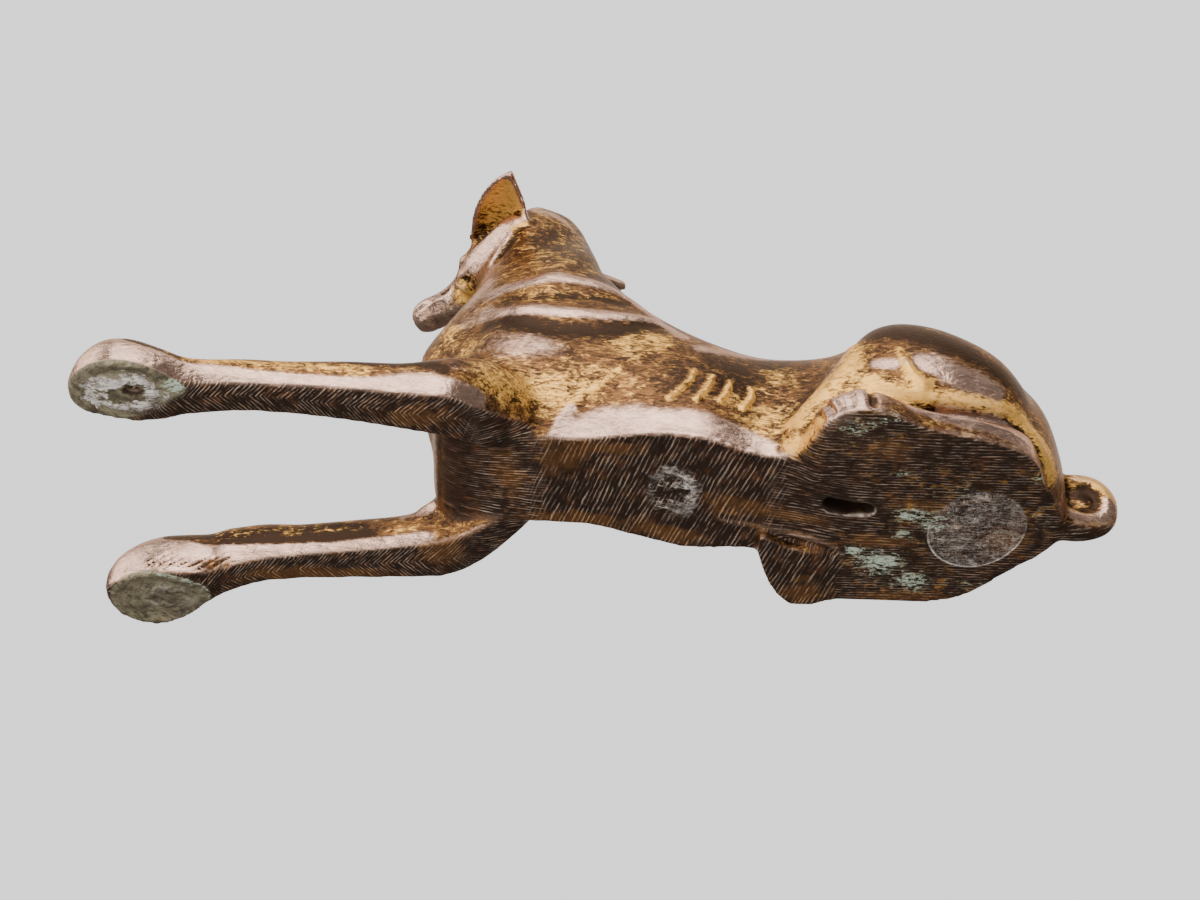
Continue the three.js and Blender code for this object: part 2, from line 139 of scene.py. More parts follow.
# Foreleg along X: x, centre y, floor z, top z, floor half-width, greatest half-width, widest share.
FORELEG = [
    (118, 31.6, 1.2, 5, 1.5, 2.2, 0.5),
    (115.5, 32.4, 0, 8.8, 5, 5.6, 0.45),
    (111, 33.2, 0, 11.4, 7.4, 8, 0.42),
    (105.5, 33.1, 0, 11.8, 8.4, 8.8, 0.42),
    (99.5, 32.2, 0, 11, 7.2, 7.8, 0.45),
    (94.5, 31, 0.8, 10.6, 4.9, 6.3, 0.48),
    (90, 30, 2, 11.4, 4.2, 5.8, 0.5),
    (82, 28.8, 4, 13.4, 4, 5.4, 0.5),
    (73, 27.9, 4.8, 14.4, 4.2, 5.2, 0.5),
    (60, 26.7, 5.2, 16, 4.8, 5.8, 0.5),
    (48, 25.2, 5.2, 17.4, 5.4, 6.6, 0.48),
    (38, 23.6, 5.4, 21, 6, 7.6, 0.46),
    (30, 19.4, 6.4, 25, 5.6, 8.4, 0.46),
    (22, 14.5, 9.6, 26, 4, 7, 0.5),
    (14, 9, 14, 26, 2, 4, 0.5),
]
# The right foreleg is deeper and its paw is set further out: x, extra height of its top, extra
# half-width, shift outward.
RIGHT_DEEPER = [
    (118, 1.6, 0.2, 3.4),
    (111, 3.2, 0.8, 2.8),
    (105.5, 4.4, 1, 2.3),
    (99.5, 5.2, 0.8, 1.6),
    (90, 5.2, 0.2, 0.3),
    (82, 3.8, 0, 0),
    (73, 2.4, 0, 0),
    (48, 0.6, 0, 0),
    (14, 0, 0, 0),
]
SHOULDER = ((15, 12, 36), (13.5, 9.4, 26), -34)

# Thigh from the rump to the knee: centre x, y, z, half-width, half-height.
THIGH = [
    (-98.5, 8, 16, 2, 4),
    (-95.5, 10.5, 18.5, 6.5, 10.5),
    (-88, 14, 22, 10.5, 15.5),
    (-77, 16, 25, 12.2, 17.8),
    (-67, 16.8, 26, 12.6, 18.6),
    (-59.5, 17.2, 24.5, 11.2, 18.4),
    (-53.5, 17.4, 20.5, 9.4, 16),
    (-47, 17.6, 15, 7.4, 12),
    (-41.5, 17.2, 10.2, 5.6, 7.8),
    (-37.8, 15.8, 7.6, 4, 4.8),
    (-35.6, 14.8, 6.6, 1.6, 2),
]
# Hind foot along the ground: x, outer edge, inner edge, top z.
HINDFOOT = {
    1: [
        (-97.5, 8, 4, 4),
        (-95, 14, 4, 9),
        (-92, 21, 6, 11),
        (-87, 25.3, 8, 10.5),
        (-79, 28.4, 10, 9.4),
        (-71, 30.1, 12, 8.8),
        (-64, 32, 14, 8.4),
        (-57.5, 35.2, 15, 9),
        (-51, 36.6, 15, 10),
        (-46.8, 35.2, 14, 9.8),
        (-43.9, 32.2, 12, 9.4),
        (-42.3, 28, 11, 9),
        (-40.4, 22.2, 10, 8.2),
        (-38.8, 18.4, 9, 7.4),
        (-37, 15.8, 8, 7),
    ],
    -1: [
        (-101, 5, 1, 4),
        (-97, 10, 3, 9),
        (-91, 17, 6, 11),
        (-84, 24.2, 8, 10.5),
        (-76, 27.2, 9, 9.4),
        (-68, 27.4, 10, 8.8),
        (-60, 27.4, 11, 8.4),
        (-53, 27.8, 11, 8),
        (-48, 29.8, 11, 7.4),
        (-43.6, 29.8, 10, 6.4),
        (-39.8, 26.2, 9, 5.4),
        (-36.4, 19.8, 7, 4.6),
        (-33.6, 11.5, 6, 4.2),
    ],
}
# The front end of a hind foot runs up into the belly: rise of its floor, and where along X it rises.
FOOT_LIFT = {1: 3.4, -1: 0}
FOOT_LIFT_FROM = (-44.5, -37)
# Tail: centre line and radius. It leaves the rump low and curls up and forward into a comma.
TAIL = [
    (-96, -1, 6, 5),
    (-102, -2, 4.6, 4.2),
    (-108, -3, 4.2, 3.4),
    (-112.8, -3, 6.2, 3.1),
    (-114, -2.4, 10.8, 3),
    (-112, -1.9, 14.4, 2.9),
    (-108.4, -1.4, 15.6, 2.6),
    (-104.8, -1.2, 15.4, 2.4),
]
TAIL_WEB = ((-108.2, -2.4, 10.6), (5.6, 2.2, 5.4), 0)
# Webs that run from the chest into the forelegs, one a side.
CHEST_WEB = [(37, 12, 18, 3), (39.5, 18, 17, 2.8), (44, 20.5, 15.5, 2.4)]
CHEEK = [
    (21, 8.6, 91, 3.2), (25.4, 6.2, 89.2, 4), (29.2, 1.6, 87.4, 4.6), (33.2, -3.4, 85.4, 4.8),
    (36.6, -8.8, 83.6, 4),
]
EAR_MIDDLES = ((26.6, 14, 91.8), (4, -14, 91.6))
VENT = {"x": -52.4, "y": 4.6, "length": 11.6, "width": 4.2, "depth": 9, "turn": math.radians(5)}


def ease(x, low, high):
    """0 below low, 1 above high, and a smooth cubic step between."""
    t = np.clip((x - low) / (high - low), 0, 1)
    return t * t * (3 - 2 * t)


def curve_rows(rows, u):
    """Smooth curve through equally spaced rows: a cubic between neighbours whose slope at each row is half
    the difference of the rows on either side."""
    rows = np.asarray(rows, float)
    last = len(rows) - 1
    at = np.clip(u, 0.0, 1.0) * last
    i = np.minimum(last - 1, np.floor(at).astype(int))
    t = (at - i)[:, None]
    p0, p1, p2, p3 = rows[np.maximum(0, i - 1)], rows[i], rows[i + 1], rows[np.minimum(last, i + 2)]
    return (
        (2 * t**3 - 3 * t**2 + 1) * p1
        + (t**3 - 2 * t**2 + t) * (p2 - p0) / 2
        + (3 * t**2 - 2 * t**3) * p2
        + (t**3 - t**2) * (p3 - p1) / 2
    )


def loft(rows, count):
    """Columns of a table at evenly spaced places along its smooth curve."""
    return curve_rows(rows, np.linspace(0, 1, count)).T


def section(floor_half, low, wide, widest, high, exponent):
    """Closed cross-sections, one a row: a flat floor, a flank that swells by a quarter sine to its widest
    height, and a superellipse top. Returns sideways and height grids."""

    def column(v):
        return np.broadcast_to(np.asarray(v, float).reshape(-1, 1), (len(low), 1))

    given = (floor_half, low, wide, widest, high, exponent)
    floor_half, low, wide, widest, high, exponent = map(column, given)
    f = np.linspace(0, 1, 9)
    a = np.linspace(0, 1, 11)[1:]
    b = np.linspace(0, 1, 21)[1:] * math.pi / 2
    across = np.concatenate(
        [
            floor_half * f,
            floor_half + (wide - floor_half) * np.sin(a * math.pi / 2),
            wide * np.abs(np.cos(b)) ** (2 / exponent),
        ],
        1,
    )
    height = np.concatenate(
        [low + 0 * f, low + (widest - low) * a, widest + (high - widest) * np.sin(b) ** (2 / exponent)], 1
    )
    across[:, -1] = 0
    return (
        np.concatenate([across, -across[:, -2:0:-1]], 1),
        np.concatenate([height, height[:, -2:0:-1]], 1),
    )


def skin_of(rings):
    """Points and faces of a closed tube: rings joined by quads, each end closed by one face."""
    rows, around = rings.shape[:2]
    index = np.arange(rows * around).reshape(rows, around)
    a, b = index[:-1], index[1:]
    quads = np.stack([a, np.roll(a, -1, 1), np.roll(b, -1, 1), b], -1).reshape(-1, 4)
    ends = [index[0][::-1].tolist(), index[-1].tolist()]
    points = rings.reshape(-1, 3)
    p = points[quads]
    volume = (np.cross(p[:, 1] - p[:, 0], p[:, 2] - p[:, 0]) * (p[:, 0] - points.mean(0))).sum()
    if volume < 0:
        quads, ends = quads[:, ::-1], [e[::-1] for e in ends]
    return points, quads.tolist() + ends


def body_skin():
    """Trunk and neck: sections stood on sloping ribs from the lower contour to the back."""
    xf, zf, xb, zb, floor_half, wide, share, exponent, offset = loft(BODY, 150)
    length = np.hypot(xb - xf, zb - zf)
    ux, uz = ((xb - xf) / length)[:, None], ((zb - zf) / length)[:, None]
    floor_half = np.minimum(floor_half, wide * 1.05)
    across, height = section(floor_half, 0 * xf, wide, length * share, length, exponent)
    places = [xf[:, None] + ux * height, offset[:, None] + across, zf[:, None] + uz * height]
    return skin_of(np.stack(places, -1))


def head_skin():
    """Head: sections carried along the head's own axis, from inside the neck to the nose."""
    d, low, high, wide, share = loft(HEAD, 60)
    across, height = section(wide * 0.45, low, wide, low + (high - low) * share, high, 2.2 + 0 * d)
    rings = (
        HEAD_AT
        + d[:, None, None] * HEAD_FORWARD
        + across[..., None] * HEAD_SIDE
        + height[..., None] * HEAD_UP
    )
    return skin_of(rings)


def ear_skin(root, tip, face, hand):
    """Leaf-shaped shell, cupped across its width by a parabola, thick in the middle and thin at its rim."""
    root, axis = np.array(root), np.array(tip) - np.array(root)
    length = np.linalg.norm(axis)
    along = axis / length
    side = np.cross(along, face)
    side *= hand / np.linalg.norm(side)
    out = np.cross(side, along) * hand
    u, front, rear = loft(EAR_RIM, 40)
    half, mid = (rear - front) / 2, (rear + front) / 2
    v = np.linspace(-1, 1, 25)
    cup = EAR_HOLLOW * half[:, None] / 7 * (1 - v**2)
    thick = EAR_THICK * (0.55 + 0.45 * np.cos(v * math.pi / 2))
    base = root + u[:, None, None] * axis + (mid[:, None] + half[:, None] * v)[..., None] * side
    inner = base - cup[..., None] * out
    outer = base - (cup + thick)[..., None] * out
    return skin_of(np.concatenate([inner, outer[:, ::-1]], 1))


def leg_skin(x, middle, hand, across, height):
    """Sections square to X about a middle line, turned over for the right side."""
    return skin_of(np.stack([x[:, None] + 0 * across, hand * (middle[:, None] + across), height], -1))


def foreleg_skin(hand):
    """Foreleg: sections carried along X from the toes to inside the chest."""
    x, y, low, high, floor_half, wide, share = loft(FORELEG, 110)
    deeper = np.array(RIGHT_DEEPER)[::-1]
    rise, more, out = [np.interp(x, deeper[:, 0], deeper[:, k]) * (hand < 0) for k in (1, 2, 3)]
    low, top = np.maximum(low, 0.0), high + rise
    across, height = section(floor_half + more, low, wide + more, low + (top - low) * share, top, 2.1 + 0 * x)
    return leg_skin(x, y + out, hand, across, height)


def thigh_skin(hand):
    """Thigh: ovals carried from the rump to the knee."""
    x, y, z, a, b = loft(THIGH, 80)[..., None]
    t = np.linspace(0, 2 * math.pi, 64, endpoint=False)
    return skin_of(np.stack([x + 0 * t, hand * (y + a * np.sin(t)), z - b * np.cos(t)], -1))


def hindfoot_skin(hand):
    """Hind foot: flat-floored sections between its outer and inner edges, from the hock to the toes."""
    x, outer, inner, high = loft(HINDFOOT[hand], 80)
    half = (outer - inner) / 2
    floor = FOOT_LIFT[hand] * ease(x, *FOOT_LIFT_FROM)
    across, height = section(half * 0.97, floor, half, floor + (high - floor) * 0.4, high, 2.6 + 0 * x)
    return leg_skin(x, (outer + inner) / 2, hand, across, height)


def rod_skin(rows, hand=1):
    """A round rod: circles square to a bent centre line."""
    rows = np.array(rows) * [1, hand, 1, 1]
    u = np.linspace(0, 1, 80)
    x, y, z, radius = curve_rows(rows, u).T
    ahead = curve_rows(rows, u + 0.02)[:, :3] - curve_rows(rows, u - 0.02)[:, :3]
    ahead /= np.linalg.norm(ahead, axis=1)[:, None]
    side = np.cross(ahead, (0, 1, 0))
    side /= np.linalg.norm(side, axis=1)[:, None]
    out = np.cross(side, ahead)
    t = np.linspace(0, 2 * math.pi, 32, endpoint=False)[:, None]
    centre = np.stack([x, y, z], -1)[:, None]
    radius = radius[:, None, None]
    return skin_of(centre + radius * (np.sin(t) * side[:, None] - np.cos(t) * out[:, None]))


def ball_skin(centre, radii, tilt, hand=1):
    """Ellipsoid: a sphere's circles scaled to three radii, tilted about Y and moved to its centre."""
    a = np.linspace(0.02, math.pi - 0.02, 40)[:, None]
    t = np.linspace(0, 2 * math.pi, 60, endpoint=False)
    p = np.stack([np.sin(a) * np.cos(t), np.sin(a) * np.sin(t), np.cos(a) + 0 * t], -1) * radii
    c, s = math.cos(math.radians(tilt)), math.sin(math.radians(tilt))
    x, z = c * p[..., 0] + s * p[..., 2], c * p[..., 2] - s * p[..., 0]
    return skin_of(np.stack([x + centre[0], p[..., 1] + hand * centre[1], z + centre[2]], -1))


def vent_skin():
    """Cutter of the core vent: an oblong with round ends, carried straight up from below the floor."""
    t = np.linspace(-math.pi / 2, 3 * math.pi / 2, 48, endpoint=False)
    reach = np.where(t < math.pi / 2, 1.0, -1.0) * (VENT["length"] - VENT["width"]) / 2
    x, y = reach + np.cos(t) * VENT["width"] / 2, np.sin(t) * VENT["width"] / 2
    c, s = math.cos(VENT["turn"]), math.sin(VENT["turn"])
    levels = np.array([-1.0, VENT["depth"] * 0.5, VENT["depth"]])[:, None]
    flare = np.array([1.0, 1.0, 0.9])[:, None]
    px = VENT["x"] + flare * (c * x - s * y)
    py = VENT["y"] + flare * (s * x + c * y)
    return skin_of(np.stack([px, py, levels + 0 * px], -1))


# Chased relief: bent lines on the dog's left side, height and half-width in millimetres, and how far
# each end fades. Lines marked as pairs are repeated on the right side.
RIB_STROKES = [
    [(-17.1, 20.8, 27.1), (-16, 21.3, 22.7), (-13, 21.2, 18.9), (-9.9, 20.7, 16.4)],
    [(-21.4, 20.1, 25.9), (-20.5, 20.5, 22.5), (-18.9, 20.7, 19.3), (-16.4, 20.8, 16.1)],
    [(-25.5, 19.2, 25.3), (-24.9, 19.5, 22.5), (-23.9, 19.8, 19.7), (-22, 20.1, 16.8)],
    [(-30.1, 18, 24.5), (-30.1, 18.3, 21.6), (-29.2, 18.4, 18.9), (-27.3, 18.8, 16.4)],
]
SHOULDER_EDGE = [
    (15.9, 12.7, 8.9), (12.6, 17.3, 14.9), (9.2, 19, 18.3), (4.1, 20.3, 21.2), (-1.1, 21.4, 26.7),
    (-5.8, 21.2, 31), (-14.3, 19.3, 36.6),
]
FLANK_EDGE = [
    (15.9, 13.2, 8.9), (10.2, 14.1, 8.8), (-1, 16.9, 8.5), (-9.4, 18.7, 7.9), (-17.8, 19.2, 6.6),
    (-23.5, 18.4, 5.5), (-29.3, 17, 4.5), (-36.9, 17.6, 3),
]
FLANK_BAND = [
    (12, 16.4, 12), (4, 18.4, 13.4), (-5, 19.6, 12.6), (-14, 20.3, 11.2), (-22, 19.6, 10.2),
    (-30, 17.6, 9), (-37, 17.4, 8),
]
THIGH_FRONT = [
    (-54.4, 21, 37), (-53, 22.6, 31.5), (-50.6, 24, 25), (-48, 24, 20.5), (-45.2, 22.6, 17.6),
    (-41.8, 20.4, 15), (-38.4, 18, 12.2), (-35.4, 17.4, 9.4),
]
KNEE_UNDER = [
    (-54.5, 26.6, 16.6), (-49.9, 25.7, 15.7), (-45.8, 24.6, 13.7), (-42.4, 23.4, 10), (-38.6, 22, 5.4),
]
LEAF_STROKE = [
    (-62.6, 28.7, 28.3), (-63.1, 29, 25.4), (-63.8, 28.8, 22.7), (-64.8, 28.6, 19.8),
    (-66.6, 27.9, 17.9), (-69.5, 27.2, 16.2),
]
SHANK_BAND = [
    (-53.7, 26.5, 22.8), (-57.5, 27.5, 18.7), (-65, 27.2, 15.5), (-73.4, 26.1, 14.3),
    (-82.1, 24.7, 14.2), (-88.7, 22.2, 13.9), (-92.8, 19.4, 10.6), (-95.5, 16.8, 6.3),
    (-98.4, 11.9, 3.4),
]
SHANK_GROOVE = [
    (-63, 26, 13.2), (-67.5, 25.2, 12.2), (-71.8, 24.7, 11.7), (-79.1, 24.1, 11.6), (-86.8, 22.5, 11),
    (-90.9, 20.2, 9.2), (-93, 19.1, 6.3), (-94.3, 16, 3.2),
]
FOOT_BAND = [
    (-57.3, 30.6, 8.4), (-63.1, 31.5, 6.4), (-71.5, 29.9, 5.6), (-80, 28.1, 5.2), (-87.1, 25.1, 4.6),
    (-91.9, 20.9, 3.6),
]
NECK_UPPER_FOLD = [
    (31.4, 12.6, 53.5), (27.4, 15.8, 55.8), (20.2, 18.6, 57.2), (13, 19, 58), (4.2, 17.6, 57.4),
    (-1.2, 15.6, 56), (-6.7, 15.1, 51.5), (-11.3, 15.8, 46.3),
]
NECK_LOWER_FOLD = [
    (33.5, 14.3, 48.2), (30, 17.4, 46.9), (25.3, 20, 45), (18.4, 21.1, 44), (11.4, 21.3, 43.7),
    (4.4, 20.6, 43.6), (-2.7, 19.2, 44.8), (-8.8, 17.2, 45.4), (-13.5, 17, 42), (-16.8, 17.9, 38.4),
]
NECK_GOLD_HOLLOW = [
    (28.5, 17, 52), (23.1, 19.4, 50.6), (13.8, 20.4, 50.9), (4.2, 18.8, 51.4), (-4.1, 16, 50.4),
]
NECK_DARK_HOLLOW = [
    (32.7, 16, 43.6), (27.5, 19.6, 41), (20.6, 21.4, 38.8), (13.7, 21.6, 37.6), (6.7, 21.4, 37.4),
    (-0.2, 20.6, 39.3), (-7.4, 18.6, 42), (-11.6, 18.1, 40.6),
]
# The worn jaw runs down from the ear to a round cheek; the lip is a thin ridge on the muzzle.
JAW_RIDGE = [(26, 8.8, 86.4), (27.6, 7.6, 83.4), (29.4, 6.2, 80.4), (31.3, 4.1, 77.6)]
JAW_FOLD = [(24.8, 9.6, 84), (26.4, 8.4, 80.6), (28.6, 7.2, 77.6)]
LIP_RIDGE = [(49.9, -19.9, 88), (46.9, -17.5, 87.5), (43.8, -15.3, 86.4), (40.6, -12.5, 85.4)]
LIP_GROOVE = [(46.5, -17, 88.9), (43.6, -14.7, 88.2), (41.3, -12.3, 87.5)]
CHEEK_GROOVE = [(40.6, -11.4, 86.6), (39.4, -7.8, 84), (37.8, -4.8, 82.2), (35.6, -2.6, 81.4)]
TOE_GROOVES = [
    [(-41.2, 24.6, 2), (-41.8, 26.5, 3.6), (-41.8, 25.4, 6.6), (-42.4, 23.4, 8.4)],
    [(-43.3, 30.4, 0.6), (-43, 30.1, 3), (-42.7, 28.3, 6.9), (-43.2, 26, 8.8)],
    [(-45.3, 33.7, 0.4), (-44.8, 33.2, 2.8), (-43.9, 31.1, 7.1), (-44.4, 28, 9.2)],
    [(-47, 35, 0.4), (-46.4, 34.8, 3.4), (-46, 33.4, 7.4), (-46.4, 30.4, 9.6)],
    [(-48.4, 36, 0.4), (-48.5, 36.1, 3), (-48.4, 35.4, 6.6), (-48.6, 32.4, 9.8)],
    [(-53.4, 36.4, 0.4), (-53.2, 36.3, 3), (-53, 35.2, 6.8), (-53, 32, 9.6)],
    [(-39, -24.6, 1), (-39.6, -24, 3.6), (-41, -22, 6.4)],
    [(-43, -29.4, 1), (-43.6, -28.8, 4), (-44.8, -26, 7.6)],
    [(-48.6, -29.6, 1), (-49, -28.8, 4.4), (-49.8, -26, 8.6)],
]
TOE_ROW = [
    (-37.6, 17, 4.6), (-39.6, 21.6, 4.6), (-41.6, 26.4, 4), (-43.8, 30.8, 3.4), (-46.8, 34.2, 3),
    (-50.5, 35.6, 3),
]
LEG_CREASE = [(41.8, 31.2, 12.6), (36, 30, 12), (30, 26.4, 11.8), (25, 22.6, 12.2)]
# Small slanting file notches along the edge of the right forepaw: their line, the spacing of two, their
# lean in X for each millimetre of height, their depth and the half-width of the band they fill.
NOTCHES = [(109, -26.8, 3.4), (104.8, -25.8, 3.5), (100, -25.4, 3.3), (94.8, -25.6, 3.4), (88, -25, 3.9)]
NOTCH_STEP, NOTCH_LEAN, NOTCH_DEPTH, NOTCH_WIDTH = 2.5, 1.5, 1.3, 1.3
ARC_GROOVE = [(-36, -8.4, 3), (-43, -9.1, 1.6), (-49.5, -10.2, 0.6), (-52, -14, 0.2)]
ARC_RIDGE = [
    (-22, -5.2, 5.6), (-27, -6.2, 5), (-33, -6.4, 4), (-38, -6.6, 3), (-45, -7.2, 1.6),
    (-51.1, -8.6, 0.5), (-54, -12.7, 0),
]

# line, height, half-width, end fade as a share of its length, repeated on the right side
RELIEF = [
    *[(line, 1.1, (0.5, 0.65, 0.75), 0.1, True) for line in RIB_STROKES],
    *[(line, -0.35, 1.7, 0.2, True) for line in RIB_STROKES],
    *[(line, -(0.4 + 0.3 * (i % 3)), 0.95, 0.2, False) for i, line in enumerate(TOE_GROOVES)],
    (SHOULDER_EDGE, 0.35, (1.6, 1.2, 0.6, 0.5), 0.2, True),
    (FLANK_EDGE, 0.45, 1.1, 0.1, True),
    (THIGH_FRONT, 0.8, (1.2, 1.8, 2.2, 1.8), 0.15, True),
    (KNEE_UNDER, -0.45, 0.8, 0.15, True),
    (LEAF_STROKE, 0.9, (0.4, 0.9, 1.5, 2), 0.2, True),
    (SHANK_BAND, 0.6, 1.9, 0.15, True),
    (SHANK_GROOVE, -0.55, 0.8, 0.2, True),
    (FOOT_BAND, 0.35, 1.2, 0.2, True),
    (NECK_UPPER_FOLD, 0.7, (1.6, 2.2, 2.2, 1.4), 0.25, True),
    (NECK_LOWER_FOLD, 0.7, (1.6, 1.9, 2, 1.4), 0.25, True),
    (NECK_GOLD_HOLLOW, -0.7, 2.4, 0.25, True),
    (NECK_DARK_HOLLOW, -0.5, (1.6, 2.8, 2.8, 1.6), 0.25, True),
    (JAW_RIDGE, 0.5, 0.9, 0.2, False),
    (JAW_FOLD, -0.5, 0.9, 0.2, False),
    (LIP_RIDGE, 0.6, 0.9, 0.2, False),
    (LIP_GROOVE, -0.5, 0.7, 0.2, False),
    (CHEEK_GROOVE, -0.7, 0.9, 0.15, False),
    (ARC_RIDGE, 0.7, (0.5, 0.8, 0.8), 0.15, False),
    (ARC_GROOVE, -0.6, 0.9, 0.15, False),
    (LEG_CREASE, -0.5, 0.9, 0.2, True),
]
# Bells on the face, the same on both sides of the head: height; along, aside and up of the middle;
# the three half-widths.
FACE = [
    (0.9, 13.5, 8, 2.4, 1.7, 3, 1.3),  # eye
    (-0.9, 13.6, 7.6, 0.4, 3.4, 3, 0.8),  # crease under the eye
    (0.35, 12, 7, 4.4, 3.6, 3, 1.2),  # brow
    (0.9, 13.5, 7.5, -6, 2.4, 3, 1.8),  # jaw muscle
    (-0.8, 16.5, 6, -2.6, 1.6, 3, 1.4),  # hollow before it
    (-0.7, 27.5, 4.6, -0.6, 6.5, 2.2, 0.55),  # mouth
    (-0.8, 33.6, 2.2, 1.5, 0.9, 1.2, 0.8),  # nostril
]

# Marks seen from below, each an oval: middle x, y and half-lengths along X and Y.
SCAR = (-13, 0.7, 5.6, 7.4)
SOLES = {1: (105.2, 33.2, 10.6, 7.8), -1: (105, -35.6, 11.4, 9.2)}
SOLDER = {1: (105.9, 32.8, 8, 5.6), -1: (103.5, -34.6, 6.5, 4.4)}
PITS = {1: (103.9, 33.4, 2.7, 1.6), -1: (106, -35.6, 1.6, 1.2)}


def oval(x, y, middle_x, middle_y, half_x, half_y):
    """0 at an oval's middle, 1 on it, more outside."""
    return np.hypot((x - middle_x) / half_x, (y - middle_y) / half_y)


def near_line(points, line):
    """Distance from each point to a smooth bent line, and how far along that line its nearest place is."""
    fine = curve_rows(line, np.linspace(0, 1, 5 * len(line)))
    steps = np.linalg.norm(np.diff(fine, axis=0), axis=1)
    start = np.concatenate([[0], np.cumsum(steps)])
    best = np.full(len(points), 1e9)
    share = np.zeros(len(points))
    for a, b, step, before in zip(fine[:-1], fine[1:], steps, start):
        t = np.clip((points - a) @ (b - a) / max(step, 1e-9) ** 2, 0, 1)
        d = np.linalg.norm(points - a - t[:, None] * (b - a), axis=1)
        share = np.where(d < best, (before + t * step) / start[-1], share)
        best = np.minimum(best, d)
    return best, share


def across_middle(points):
    """The same points with the dog's right side turned over on to its left."""
    return points * np.array([1.0, -1.0, 1.0])


def stroke(points, line, width, fade, pair):
    """Bell-shaped weight around a line, running out at both ends; for a pair the right side repeats it.
    Several widths are spaced evenly along the line."""
    widths = np.atleast_1d(width)
    stations = np.linspace(0, 1, len(widths))
    sides = [points, across_middle(points)] if pair else [points]
    weight = np.zeros(len(points))
    for side in sides:
        near = np.linalg.norm(side - np.mean(line, 0), axis=1) < 60
        d, share = near_line(side[near], line)
        ends = ease(share, 0, fade) * ease(1 - share, 0, fade)
        half = np.interp(share, stations, widths)
        weight[near] = np.maximum(weight[near], np.exp(-((d / half) ** 2)) * ends)
    return weight


def spot(points, centre, radius, pair=False):
    """Bell-shaped weight around a place."""
    weight = np.exp(-((points - np.array(centre)) ** 2).sum(1) / radius**2)
    if pair:
        weight = np.maximum(weight, spot(across_middle(points), centre, radius))
    return weight


def head_place(points):
    """Points in the head's own axes: along, to the head's left, up."""
    away = points - HEAD_AT
    return np.stack([away @ HEAD_FORWARD, away @ HEAD_SIDE, away @ HEAD_UP], 1)


def notches(points):
    """Slanting notches of the right paw: a triangle wave along X that leans with the height."""
    x, _, z = points.T
    wave = np.abs((x + NOTCH_LEAN * z) / NOTCH_STEP % 1.0 * 2 - 1) - 0.5
    return NOTCH_DEPTH * wave * stroke(points, NOTCHES, NOTCH_WIDTH, 0.08, False)


def relief(points):
    """Height of the chasing over the smooth skin, in millimetres: each line of the table gives a bell
    exp(-(distance / half-width)^2) times its height; the face, scar and soles are added."""
    height = np.zeros(len(points))
    for line, high, width, fade, pair in RELIEF:
        height += high * stroke(points, line, width, fade, pair)
    place = head_place(points)
    place[:, 1] = np.abs(place[:, 1])
    for high, *bell in FACE:
        away = ((place - bell[:3]) / bell[3:]) ** 2
        height += high * np.exp(-(away[:, 0] + away[:, 1] + away[:, 2]))
    height += notches(points)

    x, y, z = points.T
    # Round scar on the belly: a raised rim round a shallow dip.
    low = ease(-z, -12.0, -10.0)
    scar = oval(x, y, *SCAR)
    height += low * (0.25 * np.exp(-(((scar - 0.92) / 0.13) ** 2)) - 0.5 * np.exp(-((scar / 0.62) ** 2)))

    # Soles: slightly hollow, with the old solder left standing and a pit in it.
    flat = ease(-z, -0.4, -0.1)
    for hand, (a, b, ra, rb) in SOLES.items():
        inside = 1 - ease(oval(x, y, a, b, ra, rb), 0.76, 0.92)
        solder = 1 - ease(oval(x, y, *SOLDER[hand]), 0.8, 1.0)
        pit = 1 - ease(oval(x, y, *PITS[hand]), 0.5, 1.0)
        height -= flat * inside * (0.5 * (1 - solder) + 1.7 * pit)
    return height


def swatch(name, description, default):
    """A colour property."""
    return bpy.props.FloatVectorProperty(
        name=name, description=description, default=default, size=3, subtype="COLOR", min=0, max=1
    )


def amount(name, description, default, **more):
    """A number property."""
    return bpy.props.FloatProperty(name=name, description=description, default=default, **more)


def rounds(name, description, default):
    """A whole-number property."""
    return bpy.props.IntProperty(name=name, description=description, default=default)


class Casting(bpy.types.PropertyGroup):
    """Sizes of the cast skin."""

    grain: amount("Grain", "Spacing of the skin's mesh before it is thinned", 0.0006, unit="LENGTH")
    soften: rounds("Soften", "Rounds of smoothing over the whole skin", 8)
    fillet: rounds("Fillet", "Rounds that fill the creases between masses", 40)
    chasing: amount("Chasing", "Strength of the chased relief", 1.0, subtype="FACTOR")
    faces: rounds("Faces", "Triangles kept in the finished skin", 190000)


class Studio(bpy.types.PropertyGroup):
    """Floor, lights and camera."""

    floor_size: amount("Floor", "Side of the floor", 4.0, unit="LENGTH")
    floor_colour: swatch("Floor colour", "Pale floor", (0.78, 0.77, 0.75))
    key_power: amount("Key", "Softbox on the dog's left", 6.4)
    side_power: amount("Side", "Softbox ahead on the dog's left", 3.6)
    front_power: amount("Front", "Softbox ahead and above", 6.0)
    high_power: amount("High", "Softbox above on the dog's left", 8.4)
    under_power: amount("Under", "Softbox ahead and below", 2.0)
    low_power: amount("Low", "Softbox beside the camera", 4.0)
    top_power: amount("Top", "Broad light overhead", 1.9)
    surroundings: amount("Surroundings", "Brightness that the bronze sees around it", 0.16)
    backdrop: amount("Backdrop", "Brightness of the pale backdrop", 1.7)
    lens: amount("Lens", "Focal length of the camera", 60.0)


def object_from(name, skins):
    """One object in metres from several closed skins in millimetres."""
    points, faces, before = [], [], 0
    for skin_points, skin_faces in skins:
        points.append(skin_points)
        faces += [[before + i for i in face] for face in skin_faces]
        before += len(skin_points)
    mesh = bpy.data.meshes.new(name)
    mesh.from_pydata(((np.concatenate(points) + ORIGIN) * MM).tolist(), [], faces)
    mesh.update()
    made = bpy.data.objects.new(name, mesh)
    bpy.context.scene.collection.objects.link(made)
    return made


